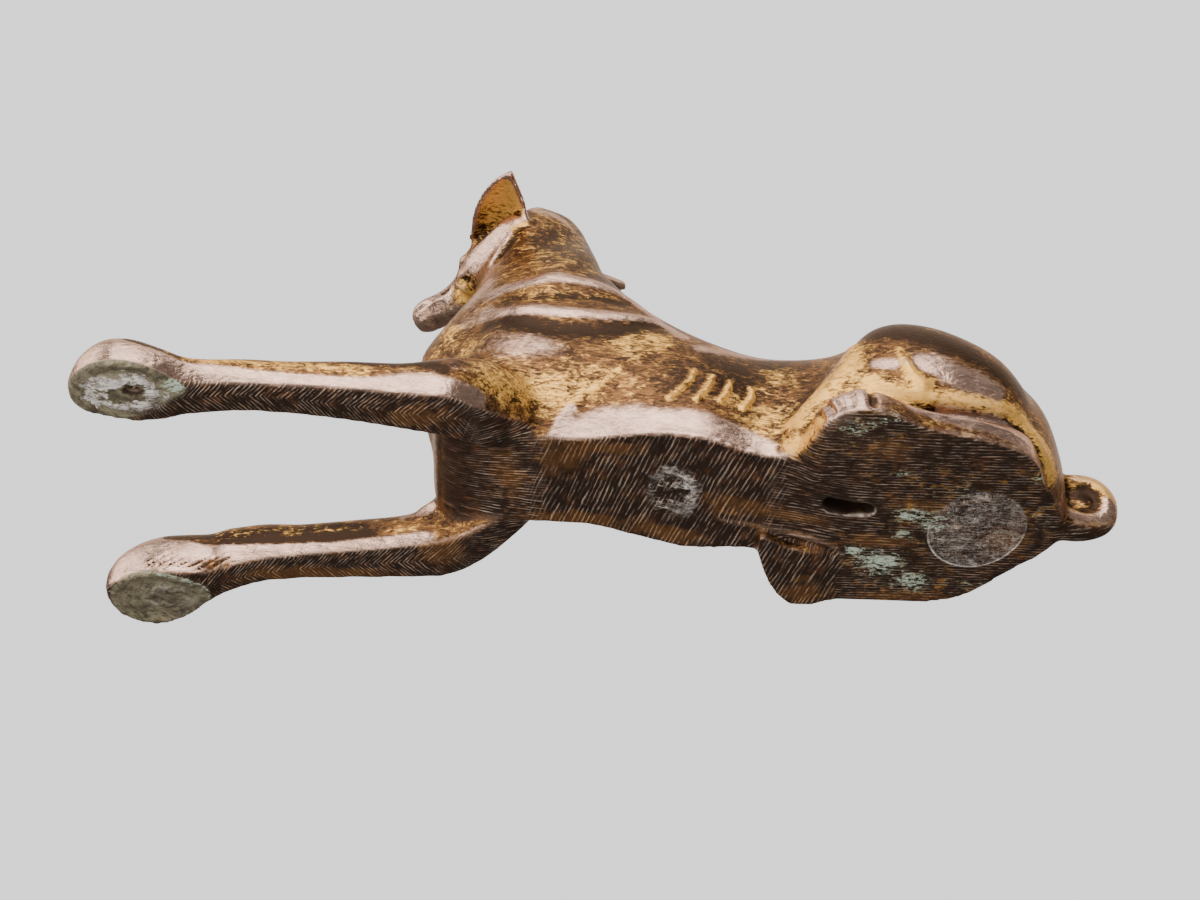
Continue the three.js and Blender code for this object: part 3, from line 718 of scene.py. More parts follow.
def settle(made):
    """Replaces an object's mesh by what its modifiers make of it."""
    graph = bpy.context.evaluated_depsgraph_get()
    finished = bpy.data.meshes.new_from_object(made.evaluated_get(graph), depsgraph=graph)
    made.modifiers.clear()
    old, made.data = made.data, finished
    bpy.data.meshes.remove(old)


def points_of(mesh):
    """Vertex places in millimetres in the part's own frame."""
    flat = np.empty(len(mesh.vertices) * 3, np.float32)
    mesh.vertices.foreach_get("co", flat)
    return flat.reshape(-1, 3).astype(float) / MM - ORIGIN


def put_points(mesh, points):
    """Writes vertex places back, kept inside the solid's own box."""
    places = np.clip((points + ORIGIN) * MM, np.array(CAD_LOW), np.array(CAD_HIGH))
    mesh.vertices.foreach_set("co", places.astype(np.float32).ravel())
    mesh.update()


def normals_of(mesh):
    """Vertex normals."""
    flat = np.empty(len(mesh.vertices) * 3, np.float32)
    mesh.vertex_normals.foreach_get("vector", flat)
    return flat.reshape(-1, 3).astype(float)


class Neighbours:
    """Averages over each vertex's neighbours, from the mesh's edges."""

    def __init__(self, mesh):
        ends = np.empty(len(mesh.edges) * 2, np.int32)
        mesh.edges.foreach_get("vertices", ends)
        self.a, self.b = ends.reshape(-1, 2).T
        self.count = len(mesh.vertices)
        self.degree = sum(np.bincount(side, minlength=self.count) for side in (self.a, self.b))

    def mean(self, values):
        """Mean of a column of values over the neighbours of each vertex."""
        ahead = np.bincount(self.a, values[self.b], self.count)
        behind = np.bincount(self.b, values[self.a], self.count)
        return (ahead + behind) / self.degree

    def pull(self, points):
        """Vector from each vertex to the middle of its neighbours."""
        return np.stack([self.mean(points[:, k]) for k in range(3)], 1) - points


def ears_near(points, left_reach, right_reach):
    """Weight around the two ears, each a bell with its own reach."""
    left, right = EAR_MIDDLES
    return spot(points, left, left_reach) + spot(points, right, right_reach)


# Share of the way to the neighbours' middle in one round: filling a crease, smoothing, and swelling back.
FILL_PULL = 0.5
SMOOTH_PULL, SWELL_PULL = 0.55, 0.57


def cast_skin(casting):
    """The joined, filleted and chased skin as one object."""
    skins = [body_skin(), head_skin(), rod_skin(TAIL), rod_skin(CHEEK), ball_skin(*TAIL_WEB)]
    skins += [ear_skin(*ear) for ear in EARS]
    for hand in (1, -1):
        skins += [foreleg_skin(hand), thigh_skin(hand), hindfoot_skin(hand)]
        skins += [ball_skin(*SHOULDER, hand), rod_skin(CHEST_WEB, hand)]
    dog = object_from("greyhound_casting", skins)
    cutter = object_from("vent_cutter", [vent_skin()])
    for step in range(2):
        join = dog.modifiers.new("join", "REMESH")
        join.mode = "VOXEL"
        join.voxel_size = casting.grain
        if step == 0:
            cut = dog.modifiers.new("vent", "BOOLEAN")
            cut.operation, cut.solver, cut.object = "DIFFERENCE", "MANIFOLD", cutter
        settle(dog)
    bpy.data.objects.remove(cutter)

    mesh = dog.data
    near = Neighbours(mesh)
    points = points_of(mesh)
    is_tail = spot(points, (-109.0, -2.0, 10.0), 9.0)
    fill = np.clip(1 - 1.3 * ears_near(points, 11.0, 12.0) - 1.2 * is_tail, 0, 1)[:, None]
    for _ in range(casting.fillet):
        put_points(mesh, points)
        normal = normals_of(mesh)
        pull = near.pull(points)
        rise = (pull * normal).sum(1)[:, None]
        points = points + FILL_PULL * fill * (pull - normal * np.minimum(rise, 0))
    for _ in range(casting.soften):
        points = points + SMOOTH_PULL * near.pull(points)
        points = points - SWELL_PULL * near.pull(points)
    put_points(mesh, points)
    normal = normals_of(mesh)
    points = points + normal * (casting.chasing * relief(points))[:, None]
    points[:, 2] = np.maximum(points[:, 2], 0.0)
    put_points(mesh, points)
    thin = dog.modifiers.new("thin", "DECIMATE")
    thin.ratio = min(1.0, casting.faces / (2.0 * len(mesh.polygons)))
    settle(dog)
    dog.data.shade_smooth()
    return dog


# Where the finish changes, in the part's own millimetres.
LEG_RIDGE = [
    (110, 40, 4), (104, 41, 4), (98.7, 39, 4), (93.2, 36.4, 4.2), (87.2, 34.7, 5.4), (80, 33.3, 5.9),
    (71.6, 32.3, 6.2), (63.1, 31.9, 6.3), (54.6, 31.6, 6.7), (48.3, 31.4, 8), (43, 31, 8.4),
    (38, 29.8, 8.4), (33.5, 27.6, 8.6), (29, 24.6, 9.4),
]
LEG_TOP = [
    (107, 40.6, 8.6), (102.6, 40.9, 8.2), (98, 39.4, 8.2), (94, 37, 8.6), (88.7, 35.4, 9.4),
    (82.5, 34.3, 10), (76.2, 33.4, 10.4), (69.9, 32.9, 10.8), (61.2, 32.6, 11), (52.6, 32.2, 11),
]
INNER_LEG_TOP = [
    (106.2, -27.6, 13), (98.9, -26, 12.2), (92.9, -25.2, 11.8), (84.5, -23.8, 11.6), (75.2, -23, 12),
    (65.8, -21.9, 12.2), (56, -19.9, 12.6),
]
INNER_LEG_RIDGE = [
    (108, -25.5, 5.6), (95.6, -24.4, 6.2), (84, -24.1, 6.2), (72.4, -23.3, 6.4), (60.7, -21.6, 6.8),
    (49, -19.5, 7.2), (40, -17.2, 7.8),
]
WEB_RIDGE = [(50, -20.6, 13.6), (45.5, -19.6, 14.4), (42, -16.6, 15.6), (40.6, -12, 17), (40.6, -6, 18.5)]
THIGH_STREAK = [
    (-55, 26.8, 24), (-58, 27.8, 23.2), (-62.9, 28.5, 22.8), (-69.3, 28.7, 22), (-75.7, 27.6, 20.4),
    (-81.7, 26.1, 18.8), (-86.5, 24.4, 17),
]
SHANK_GOLD = [
    (-53.2, 26.6, 20.8), (-56.5, 27.1, 17.3), (-62.1, 26.8, 15.2), (-68.4, 26.4, 14.8),
    (-74.9, 25.9, 14.6), (-81.5, 25.1, 14.6), (-86.6, 24, 14.2), (-90.4, 21.5, 12.7),
    (-93.6, 19.1, 9.9), (-95.6, 16, 5.8), (-98, 11, 3.6),
]
HIP_GOLD = [
    (-54.5, 21, 37), (-53.4, 23.5, 30), (-51.6, 25.4, 24), (-49, 25.2, 20.6), (-46, 24.2, 18),
    (-43, 22.8, 14.8), (-40, 21, 12.4), (-37.6, 19.5, 9.2),
]
FLANK_SHEEN = [
    (14.6, 14.6, 9.6), (10, 16.4, 11), (4.3, 17.6, 12.3), (-6.7, 19, 11.6), (-17.8, 20, 10.4),
    (-28, 18.2, 8.6), (-36, 18, 5.6),
]
CHEEK_BAND = [
    (24.6, 9.8, 90.6), (26.4, 9, 89), (28.4, 7.4, 87.4), (31.2, 4.4, 85.4), (33.6, 1.2, 84),
    (36.2, -1.8, 83.6),
]
EAR_VEINS = [
    [(27.9, 16.8, 94.4), (30.3, 12.6, 95.4), (32.3, 8.6, 95.4), (33.5, 4.2, 95.1)],
    [(26.1, 16.2, 93.7), (27.8, 10.9, 95.3), (29.7, 6.6, 95.7), (31.7, 2.2, 95.3)],
]
# line, half-width, strength, repeated on the right side
POLISH_LINES = [
    (FLANK_SHEEN, (1.2, 2.8, 3.6, 3.2, 3, 2.6, 2.2), 1.1, True),
    (FLANK_EDGE, 1.3, 0.9, True),
    ([(15.3, 14.1, 8.9), (12.8, 16.4, 13), (10, 18.2, 16.6)], (1.2, 1.5, 1), 1.2, True),
    (FOOT_BAND, 2.3, 1.3, True),
    (NECK_UPPER_FOLD, (2.4, 2.3, 2.2, 1.8), 0.9, True),
    (NECK_LOWER_FOLD, (3, 2, 1.9, 2.2), 0.95, True),
    (CHEEK_BAND, (2.4, 3.2, 3.4, 2.6), 1.2, False),
    (JAW_RIDGE, 1, 1.2, False),
    (LIP_RIDGE, 1.1, 1.8, False),
    (LEG_RIDGE, (2.2, 2, 1.9, 1.8, 1.9, 1.6), 1.6, True),
    (LEG_TOP, (1.8, 1.6, 1.5, 1.6), -1.2, False),
    (NECK_GOLD_HOLLOW, 2.4, -0.6, True),
    (LEG_TOP[:4], 1.7, -1.2, False),
    (INNER_LEG_TOP[:4], 1.7, -1, False),
    (INNER_LEG_TOP, 2.2, -1.8, False),
    (INNER_LEG_RIDGE, (2.4, 2, 1.4, 1.1), 1.5, False),
    (WEB_RIDGE, 1.4, 0.9, False),
    (THIGH_STREAK, (1, 2.4, 3.8, 3.4, 2), 1, True),
    ([(-69, 25.2, 12), (-77, 24.2, 11.6), (-85, 22.8, 11.2), (-90, 20.8, 8.6)], 1.2, 1.2, True),
    (
        [(-16.3, 19, 35), (-26, 15.4, 38), (-36, 12, 41), (-44, 10, 43)],
        (1.8, 3, 2.6), 0.8, True,
    ),
    (
        [(34.9, 9.4, 53.2), (31.4, 11.6, 60), (32, 6, 67.2), (30.7, 5.7, 73.2), (29.1, 6.7, 76.9)],
        (2.5, 3.5, 3), 0.9, True,
    ),
    ([(21.3, 8.3, 94.9), (17.5, 7.4, 95.6), (12, 7, 92.6), (6.9, 5.4, 86.5)], 1.6, 0.6, True),
    ([(-72, 15, 50), (-84, 14, 45), (-93, 11, 37)], 2.6, 0.4, True),
    (
        [(-99, 6, 5), (-106, 3, 3.6), (-112, 1.6, 5.6), (-115.6, 0.4, 10)],
        (2.4, 2.2, 2), 0.9, False,
    ),
]
OCHRE_LINES = [
    (HIP_GOLD, (2, 3.4, 4.2, 4, 3.6), 1.3, True),
    (SHANK_GOLD, (2.6, 2.4, 2.2, 2.4, 3), 1.5, True),
    (LEAF_STROKE, (0.5, 0.9, 1.6, 2.4), 2, True),
    (NECK_GOLD_HOLLOW, 2.6, 0.35, True),
    *[(line, (0.5, 0.7, 0.8), 2.4, True) for line in RIB_STROKES],
    (SHOULDER_EDGE, (1.4, 0.7, 0.7), 0.7, True),
    ([(98, 33, 14), (84, 30, 13), (70, 29, 14.5), (58, 27.5, 16.5)], 2.6, 0.6, True),
    (LEG_TOP, (1, 1.6, 1.8, 1.8), 0.7, False),
    (INNER_LEG_TOP, (1.2, 1.5, 1.6, 1.6), 0.5, False),
]
HIP_SHADE = [
    (-54.9, 24, 38.5), (-60.3, 27.4, 35.5), (-67.4, 28.2, 33.1), (-76.2, 27.2, 29.7), (-85.1, 24.2, 24.7),
    (-92.9, 18, 22),
]
UMBER_LINES = [
    (NECK_DARK_HOLLOW, (2, 3.4, 3, 2.4), 0.8, True),
    (NECK_GOLD_HOLLOW, 2.4, 0.35, True),
    (SHANK_GROOVE, 0.8, 0.7, True),
    *[(line, 0.6, 0.4, False) for line in EAR_VEINS],
    *[(line, 0.7, 0.15 + 0.3 * (i % 3), False) for i, line in enumerate(TOE_GROOVES)],
    (JAW_FOLD, 0.9, 1, False),
    (CHEEK_GROOVE, 0.8, 0.9, False),
    (LIP_GROOVE, 0.8, 0.9, False),
    (LEG_TOP[:4], 1.6, 0.8, False),
    ([(62, 31.6, 14), (52, 31.4, 14.6), (44, 31, 14.4), (37.7, 30, 12.4)], 1.8, 1.1, False),
    (INNER_LEG_TOP, 2, 0.7, False),
    ([(46, 27.6, 14.5), (58, 28.4, 13), (72, 29.8, 12.6)], 1.8, 0.6, True),
    ([(90, 33.6, 11.5), (97, 37, 11.8), (104, 38, 11.6)], 1.8, 1, True),
    (
        [(100, -23.6, 9.4), (89, -23.6, 9), (77.3, -22.9, 9.2), (65.5, -21.7, 9.4), (53.8, -19.8, 10)],
        1.2, 1, False,
    ),
    (HIP_SHADE, 3, 1.1, True),
]
OCHRE_SPOTS = [
    ((29, 26.6, 14.6), 5, 0.9), ((22.4, 21.6, 18.7), 5.5, 0.9), ((14, 19.6, 19), 5, 0.8),
    ((7, 20.8, 23.6), 5.5, 0.4), ((38.1, 9.6, 45.8), 4, 0.8), ((34.2, 16.8, 36), 5, 0.6),
    ((-2, 21.1, 34.1), 4, 0.7), ((-8.5, 20, 37), 4, 0.9), ((-37, 16.2, 31), 4, 0.8),
    ((-34, 17.6, 12), 5.5, 0.6), ((-28, 18.5, 14.5), 5, 0.3), ((-36, 17.5, 22), 6, 0.3),
    ((12, 14, 72), 10, 0.35), ((8, 8, 84), 8, 0.3), ((-60, 20, 44), 5, 0.6),
    ((-114, -1, 15.5), 3.4, 1.6), ((-110, 0, 12), 2.4, -0.8), ((36.9, -8.8, 82.4), 3.8, 1.9),
    ((-115.4, 0.2, 10), 3, 0.8), ((-111, 0, 17.6), 3.4, 1.4),
]
POLISH_SPOTS = [
    ((25, 21, 31.5), 6.5, 0.4), ((17, 21.6, 32), 4.5, 0.3), ((34, 12, 47), 5, 0.5),
    ((110, 38, 4), 8, 0.6), ((-37.6, 18, 3.6), 2.4, 0.8),
    ((-48, 35, 4), 5, 1), ((36.9, -8.8, 82.4), 3.4, -1.4),
]
UMBER_SPOTS = [
    ((-38, 16, 36), 7, 0.4), ((-70, 20, 44), 14, 0.7), ((0, 14, 62), 9, 0.4),
    ((-26, 18.5, 28), 8, 0.6), ((10, 13, 78), 13, 0.6), ((-12, 20.8, 24), 6, 0.5),
    ((-110, 0, 11.5), 2.6, 1), ((20, 20, 56), 5, -0.4), ((38, 18, 30), 5, 0.5),
    ((12, 20, 28), 4, 0.4),
]


# The file strokes end at this height: x, height.
HATCH_TOP = [(-45, 3), (-35, 5), (0, 12), (24, 18), (32, 30), (45, 34), (60, 12)]
# Rounds that smooth the bend of the skin, and the millimetres of pull that count as a full ridge.
BEND_ROUNDS = 10
SHARP_BEND = 0.03


def dress(mesh):
    """Stores the masks of the finish on the skin: worn polish, rubbed ochre, dark umber and the filed
    underside. Each is a sum of strength times the bell of a line or spot, plus what the form itself says.
    The ochre mask also carries painted light in the ear hollows."""
    points, normal = points_of(mesh), normals_of(mesh)
    near = Neighbours(mesh)
    x, y, z = points.T
    down = ease(-normal[:, 2], 0.45, 0.8)

    def lines(rows):
        return sum(strength * stroke(points, line, width, 0.06, pair) for line, width, strength, pair in rows)

    def spots(rows):
        return sum(strength * spot(points, centre, radius, True) for centre, radius, strength in rows)

    # Ridges are worn and hollows keep their patina: the pull of the neighbours, smoothed.
    bend = -(near.pull(points) * normal).sum(1)
    for _ in range(BEND_ROUNDS):
        bend = 0.5 * bend + 0.5 * near.mean(bend)
    bend = np.clip(bend / SHARP_BEND, -1, 1)

    along_head = head_place(points)[:, 0]
    face = ease(along_head, 8, 16) * ease(z, 70, 80)
    ear = np.clip(ears_near(points, 12.0, 13.0), 0, 1)
    tail = ease(-x, 101, 105)
    paws = ease(x, 92, 99) * ease(z, 0.4, 1.6)

    gilt = sum(stroke(points, line, 1.1, 0.04, True) for line in RIB_STROKES)
    gilt = gilt + stroke(points, LEAF_STROKE, (0.8, 1.2, 2.0, 2.4), 0.06, True)
    neck = ease(z, 56, 62) * ease(-along_head, -6, 2)
    polish = 0.08 + lines(POLISH_LINES) + spots(POLISH_SPOTS) + 0.5 * np.maximum(bend, 0) + 0.4 * face
    polish += paws + 0.1 * tail - 1.6 * gilt + 0.9 * ear * ease(bend, 0.2, 0.7)
    ochre = 0.24 + lines(OCHRE_LINES) + spots(OCHRE_SPOTS) + 0.25 * face + 0.3 * tail + 0.12 * neck
    # The ear hollows face down: the extra ochre there is partly their own golden patina and partly painted
    # light, a lit look that the lamps don't give them.
    ear_hollow_gilt_and_painted_light = ear * ease(-normal[:, 2], 0.0, 0.5)
    ochre += 1.6 * ear_hollow_gilt_and_painted_light
    polish -= 0.2 * ear_hollow_gilt_and_painted_light
    umber = lines(UMBER_LINES) + spots(UMBER_SPOTS) + 0.5 * np.maximum(-bend, 0) - 0.8 * gilt
    cuts = np.maximum(-notches(points), 0)
    umber += 2.0 * cuts
    polish -= 4.0 * cuts

    rim_height = np.interp(x, *np.transpose(HATCH_TOP))
    hatch = down * (1 - ease(z - rim_height, 0, 2))

    # The row of the hind toes and the ridge on the belly are polished or ochre instead of filed.
    knee = stroke(points, TOE_ROW, 2.6, 0.05, False)
    ridge = stroke(points, ARC_RIDGE, 0.7, 0.1, False)
    hatch *= (1 - 0.95 * knee) * (1 - 0.75 * ridge)
    front = stroke(points, TOE_ROW[:4], 2.6, 0.05, False)
    polish += 0.9 * (knee - front) + 0.8 * ridge - 0.6 * front
    ochre += 1.3 * front - 0.3 * (knee - front)
    for name, values in {"polish": polish, "ochre": ochre, "umber": umber, "hatch": hatch}.items():
        layer = mesh.attributes.new(name, "FLOAT", "POINT")
        layer.data.foreach_set("value", values.astype(np.float32))


# Marks painted underneath: middle x, y, half-lengths, strength.
VERDIGRIS_MARKS = [
    (-66.9, 3.6, 7, 3.6, 1), (-72, 0.5, 6, 6.5, 0.8), (-66, -3, 5, 3.6, 0.7), (-62, -13, 9, 7.5, 0.95),
    (-70, -19.5, 9, 6.5, 0.75), (-56, -9.5, 5, 3, 0.8), (-84, -20, 8, 4, 0.4), (-50.4, 31, 8, 6, 0.55),
    (-57, 33.6, 5, 2.2, 0.7), (-62.2, 17, 5, 2.2, 0.5), (-92.7, 17, 4, 6, 0.35), (-96.5, 4, 4, 7, 0.4),
    (-75, 12, 9, 4, 0.35), (94.6, 35.4, 4.4, 3.2, 1.3), (100, 32.5, 4, 2.4, 0.5),
]
RUST_MARKS = [
    (12.8, 8, 10, 7, 1), (8, -12, 22, 4, 1.2), (-12, -13, 14, 4, 1.2), (-28, 0, 10, 5, 1),
    (24, 2, 6, 14, 0.8), (-58, 24, 10, 6, 0.8), (-68, 7, 10, 4, 0.9), (-62, -6, 12, 4, 1),
    (-90, -4, 9, 9, 1), (-46, -25, 9, 5, 1.1), (6, 13, 20, 3, 1), (-45, -20, 4, 3, 0.8),
    (39, -20, 8, 8, 1.2), (44, 24, 14, 6, 0.8), (-40, -1, 14, 3, 0.8), (70, -30, 26, 4, 1.3),
    (-70, -25, 20, 3, 0.9),
]
GLUE_DISC = (-82.5, -0.6, 11.3, 13.2)
# Spacing of the file strokes. The middle line of a foreleg lies at slope times x plus offset from y = 0.
STROKE_PITCH = 1
LEG_SLOPE, LEG_OFFSET = 0.1375, 18.4


class Value:
    """A number that varies over the surface, as one socket; arithmetic on it adds Math nodes."""

    def __init__(self, finish, socket):
        self.finish, self.socket = finish, socket

    def math(self, operation, *others, clamp=False):
        """One Math node on this value and the others."""
        sockets = {i: v for i, v in enumerate((self, *others))}
        made = self.finish.node("ShaderNodeMath", {"operation": operation, "use_clamp": clamp}, sockets)
        return Value(self.finish, made.outputs[0])

    def reflected(self, operation, other):
        """The same with the other value first."""
        made = self.finish.node("ShaderNodeMath", {"operation": operation}, {0: other, 1: self})
        return Value(self.finish, made.outputs[0])

    def __add__(self, other):
        return self.math("ADD", other)

    def __sub__(self, other):
        return self.math("SUBTRACT", other)

    def __rsub__(self, other):
        return self.reflected("SUBTRACT", other)

    def __mul__(self, other):
        return self.math("MULTIPLY", other)

    __radd__, __rmul__ = __add__, __mul__

    def __neg__(self):
        return self.reflected("SUBTRACT", 0)

    def __abs__(self):
        return self.math("ABSOLUTE")

    def step(self, low, high):
        """0 below low, 1 above high, smooth between."""
        made = self.finish.node(
            "ShaderNodeMapRange",
            {"interpolation_type": "SMOOTHSTEP"},
            {"Value": self, "From Min": low, "From Max": high},
        )
        return Value(self.finish, made.outputs["Result"])

    def between(self, low, high, soft):
        """1 between two limits, falling to 0 over a soft border outside them."""
        return self.step(low - soft, low) * (1 - self.step(high, high + soft))

    def kept(self):
        """The value held between 0 and 1."""
        return self.math("MULTIPLY", 1.0, clamp=True)

    def zigzag(self):
        """Triangle wave of period 1: 0 at whole numbers, 1 half-way."""
        return abs(self.math("FRACT") * 2 - 1).reflected("SUBTRACT", 1)


class Finish:
    """One material and the nodes that make it."""

    def __init__(self, name):
        self.material = bpy.data.materials.new(name)
        self.material.use_nodes = True
        self.tree = self.material.node_tree
        self.shader = self.tree.nodes["Principled BSDF"]
        self.place = self.node("ShaderNodeTexCoord").outputs["Object"]

    def feed(self, socket, value):
        """Links or sets one socket."""
        if isinstance(value, Value):
            value = value.socket
        if isinstance(value, bpy.types.NodeSocket):
            self.tree.links.new(value, socket)
        else:
            socket.default_value = value

    def node(self, kind, settings=None, sockets=None):
        """A node of a kind: its settings first, then the values or links of its sockets."""
        made = self.tree.nodes.new(kind)
        for name, value in (settings or {}).items():
            setattr(made, name, value)
        for name, value in (sockets or {}).items():
            self.feed(made.inputs[name], value)
        return made

    def attribute(self, name):
        """A mask stored on the skin."""
        made = self.node("ShaderNodeAttribute", {"attribute_type": "GEOMETRY", "attribute_name": name})
        return Value(self, made.outputs["Fac"])

    def noise(self, size, detail=3.0, rough=0.55, stretch=(1, 1, 1), turn=(0, 0, 0), place=None, warp=0.0):
        """Cloudy pattern whose patches are about the given size in millimetres."""
        scale = [1000.0 / size / k for k in stretch]
        spread = {"Vector": place or self.place, "Rotation": turn, "Scale": scale}
        mapping = self.node("ShaderNodeMapping", {}, spread)
        look = {"Scale": 1.0, "Detail": detail, "Roughness": rough, "Distortion": warp}
        made = self.node("ShaderNodeTexNoise", {}, {"Vector": mapping.outputs[0], **look})
        return Value(self, made.outputs["Fac"])

    def axes(self):
        """The three coordinates in millimetres in the part's own frame."""
        split = self.node("ShaderNodeSeparateXYZ", {}, {0: self.place})
        return [Value(self, split.outputs[k]) * (1 / MM) - ORIGIN[k] for k in range(3)]

    def oval(self, x, y, middle_x, middle_y, half_x, half_y):
        """0 at an oval's middle, 1 on it, more outside."""
        across, up = (x - middle_x) * (1 / half_x), (y - middle_y) * (1 / half_y)
        return (across * across + up * up).math("SQRT")

    def patches(self, x, y, marks):
        """The strongest of several soft ovals: a mark's strength at its middle, falling to 0 at its rim."""
        found = None
        for *shape, strength in marks:
            one = (1 - self.oval(x, y, *shape)) * strength
            found = one if found is None else found.math("MAXIMUM", one)
        return found

    def either(self, mask, one, other):
        """One number where the mask is 0, the other where it is 1."""
        return one + (other - one) * mask

    def colour(self, mask, under, over):
        """The over colour laid on the under colour where the mask says; each is a socket or a swatch."""
        under, over = [c if isinstance(c, bpy.types.NodeSocket) else rgb(c) for c in (under, over)]
        made = self.node("ShaderNodeMix", {"data_type": "RGBA"}, {0: mask, 6: under, 7: over})
        return made.outputs[2]


def rgb(colour):
    """A swatch with full opacity."""
    return (*colour, 1.0)


class Grain:
    """The noises that break up every border of the finish, made once and shared."""

    def __init__(self, f):
        self.clouds = f.noise(9.0, 4, 0.6)
        self.drift = f.noise(5.0, 4, 0.65, warp=0.6)
        self.patchy = f.noise(4.5, 4, 0.65, warp=0.5)
        self.mottle = f.noise(2.0, 5, 0.72, stretch=(1.6, 1, 1), warp=1.0)
        self.curls = f.noise(1.05, 4, 0.7, stretch=(2.8, 1, 1), turn=(0.0, 0.5, 0.0), warp=1.4)
        self.speck = f.noise(0.7, 3, 0.7)

    def mix(self, **shares):
        """Sum of the named noises about their middle, each times its share."""
        return sum((getattr(self, name) - 0.5) * share for name, share in shares.items())


class Regions:
    """Places on the skin, mostly as seen from below; each border is soft and broken by the grain."""

    def __init__(self, f, g):
        x, y, z = self.x, self.y, self.z = f.axes()
        jag = self.jag = g.mix(drift=6.0, mottle=6.0)
        self.leg_line = abs(y) - (x * LEG_SLOPE + LEG_OFFSET)
        self.on_leg = (x + jag * 0.6).step(30.0, 36.0) * (abs(y) + jag * 0.4).step(14.0, 17.0)
        self.chest = (x + jag).step(14.0, 21.0) * (1 - self.on_leg)
        lobe = (-y + jag * 0.1).step(7.8, 8.8) * (x + jag * 0.3).step(-55.0, -52.0)
        self.haunch = (-x + jag).step(33.0, 40.0) * (1 - lobe)
        self.floor = (-z).step(-1.6, -0.9)
        self.belly = (-z).step(-12.0, -10.0)
        self.left = y.step(-1.0, 1.0)
        slanted = (x + self.leg_line * 1.35 + jag * 0.3).step(93.5, 97.0) * x.step(90.0, 94.0)
        rounded = 1 - (f.oval(x, y, *SOLES[-1]) + g.mix(drift=0.2)).step(1.02, 1.08)
        self.sole = self.floor * f.either(self.left, rounded, slanted)
        beyond = (abs(x - VENT["x"]) - (VENT["length"] - VENT["width"]) / 2).math("MAXIMUM", 0.0)
        self.slot = f.oval(beyond, y, 0, VENT["y"], 1, 1)
        inside = (1 - self.slot.step(2.1, 2.5)) * z.step(0.15, 0.6) * (1 - z.step(9.4, 10.0))
        self.in_slot = inside * self.haunch


def worn_top(f, g, patina):
    """Brown patina, ochre where it was rubbed thin, and pinkish bare metal on the ridges; in the ear hollows
    part of the ochre is painted light. Returns the colour and where it is ochre and bare."""
    polish, ochre, umber = [f.attribute(name) for name in ("polish", "ochre", "umber")]
    flecks = g.mix(drift=1.7, mottle=2.8, curls=3.4)
    ochre_mask = (ochre * 1.05 + flecks - 0.36 - umber * 0.6).step(0.0, 1.15)
    wear = g.mix(clouds=0.6, mottle=0.9, curls=0.6)
    polish_mask = (polish * 1.15 + wear - 0.30 - umber * 0.3).step(0.0, 0.8)
    warm_mask = (g.drift * 0.5 + g.curls * 1.1 - umber * 0.35).step(0.58, 0.95)
    gold_mask = (g.curls * 1.1 + g.mottle * 0.5 + ochre * 0.07).step(0.6, 1.05)
    rose_mask = (g.drift * 0.6 + g.curls).step(0.55, 1.0)
    brown = f.colour(warm_mask, patina.umber, patina.brown)
    golden = f.colour(gold_mask, patina.ochre, patina.gold)
    metal = f.colour(rose_mask, patina.bare, patina.rose)
    top = f.colour(polish_mask * 0.92, f.colour(ochre_mask, brown, golden), metal)
    return top, ochre_mask, polish_mask


def file_strokes(f, g, across, along, run):
    """Thin crests a pitch apart that wander, fade and break up along their length; with the noise that
    breaks them."""
    place = f.node("ShaderNodeCombineXYZ", {}, {"X": across * MM, "Y": along * MM}).outputs[0]
    torn = f.noise(1.0, 4, 0.68, stretch=(0.8, run, 1), place=place)
    wander = f.noise(7.0, 3, 0.6, stretch=(1, 3, 1), place=place)
    crest = (across * (1 / STROKE_PITCH) + wander * 2.4 + g.mix(mottle=0.5)).zigzag()
    return crest.step(0.48, 0.92) * torn.step(0.42, 0.60) + torn.step(0.58, 0.76) * 0.4, torn


def filed_ground(f, g, r, marks, patina):
    """The filed underside: slanting strokes on the belly, lengthwise ones on chest and haunch, and a
    herringbone under the forelegs. Returns its colour, the strokes and the noise that breaks them."""
    x, y = r.x, r.y
    slanting, torn_a = file_strokes(f, g, x * 0.96 + y * 0.28, y * 0.96 - x * 0.28, 9.0)
    lengthwise, torn_b = file_strokes(f, g, y * 1.15 + (x - 18.0).math("MAXIMUM", 0.0) * y * 0.012, x, 4.0)
    herringbone, torn_c = file_strokes(f, g, x + abs(r.leg_line) * 0.8, r.leg_line * 2.0, 6.0)
    filed = f.either(r.on_leg, f.either(r.chest + r.haunch, slanting, lengthwise), herringbone)
    broken = f.either(r.on_leg, f.either(r.chest + r.haunch, torn_a, torn_b), torn_c)
    faint = 1 - r.haunch * 0.35 - r.chest * x.step(27.0, 36.0) * 0.75
    strokes = filed * (g.patchy + g.mix(clouds=0.6)).step(0.30, 0.55) * faint
    rust = (f.patches(x, y, RUST_MARKS) + g.mix(mottle=1.8, patchy=1.6)).step(0.1, 0.8)
    red = (broken + g.mix(drift=1.0)).step(0.48, 0.78) * (1 - r.haunch * 0.4)
    ground = f.colour(rust * 0.55, f.colour(red, patina.soot, patina.rust), patina.brown)
    tint = (rust * 0.8 + g.mix(drift=1.6, clouds=1.4) + 0.1).kept()
    under = f.colour(strokes.kept(), ground, f.colour(tint, patina.grey, patina.copper))
    scurf = g.mix(curls=1.6, mottle=1.2, patchy=1.4) + marks.step(-0.9, 0.2) * 0.2
    scurf = (scurf - 0.25).step(0.0, 0.5)
    fringe = marks.step(-0.7, 0.1) * 0.6 + 0.15
    return f.colour((r.haunch * scurf * fringe).kept(), under, patina.ochre), filed, broken


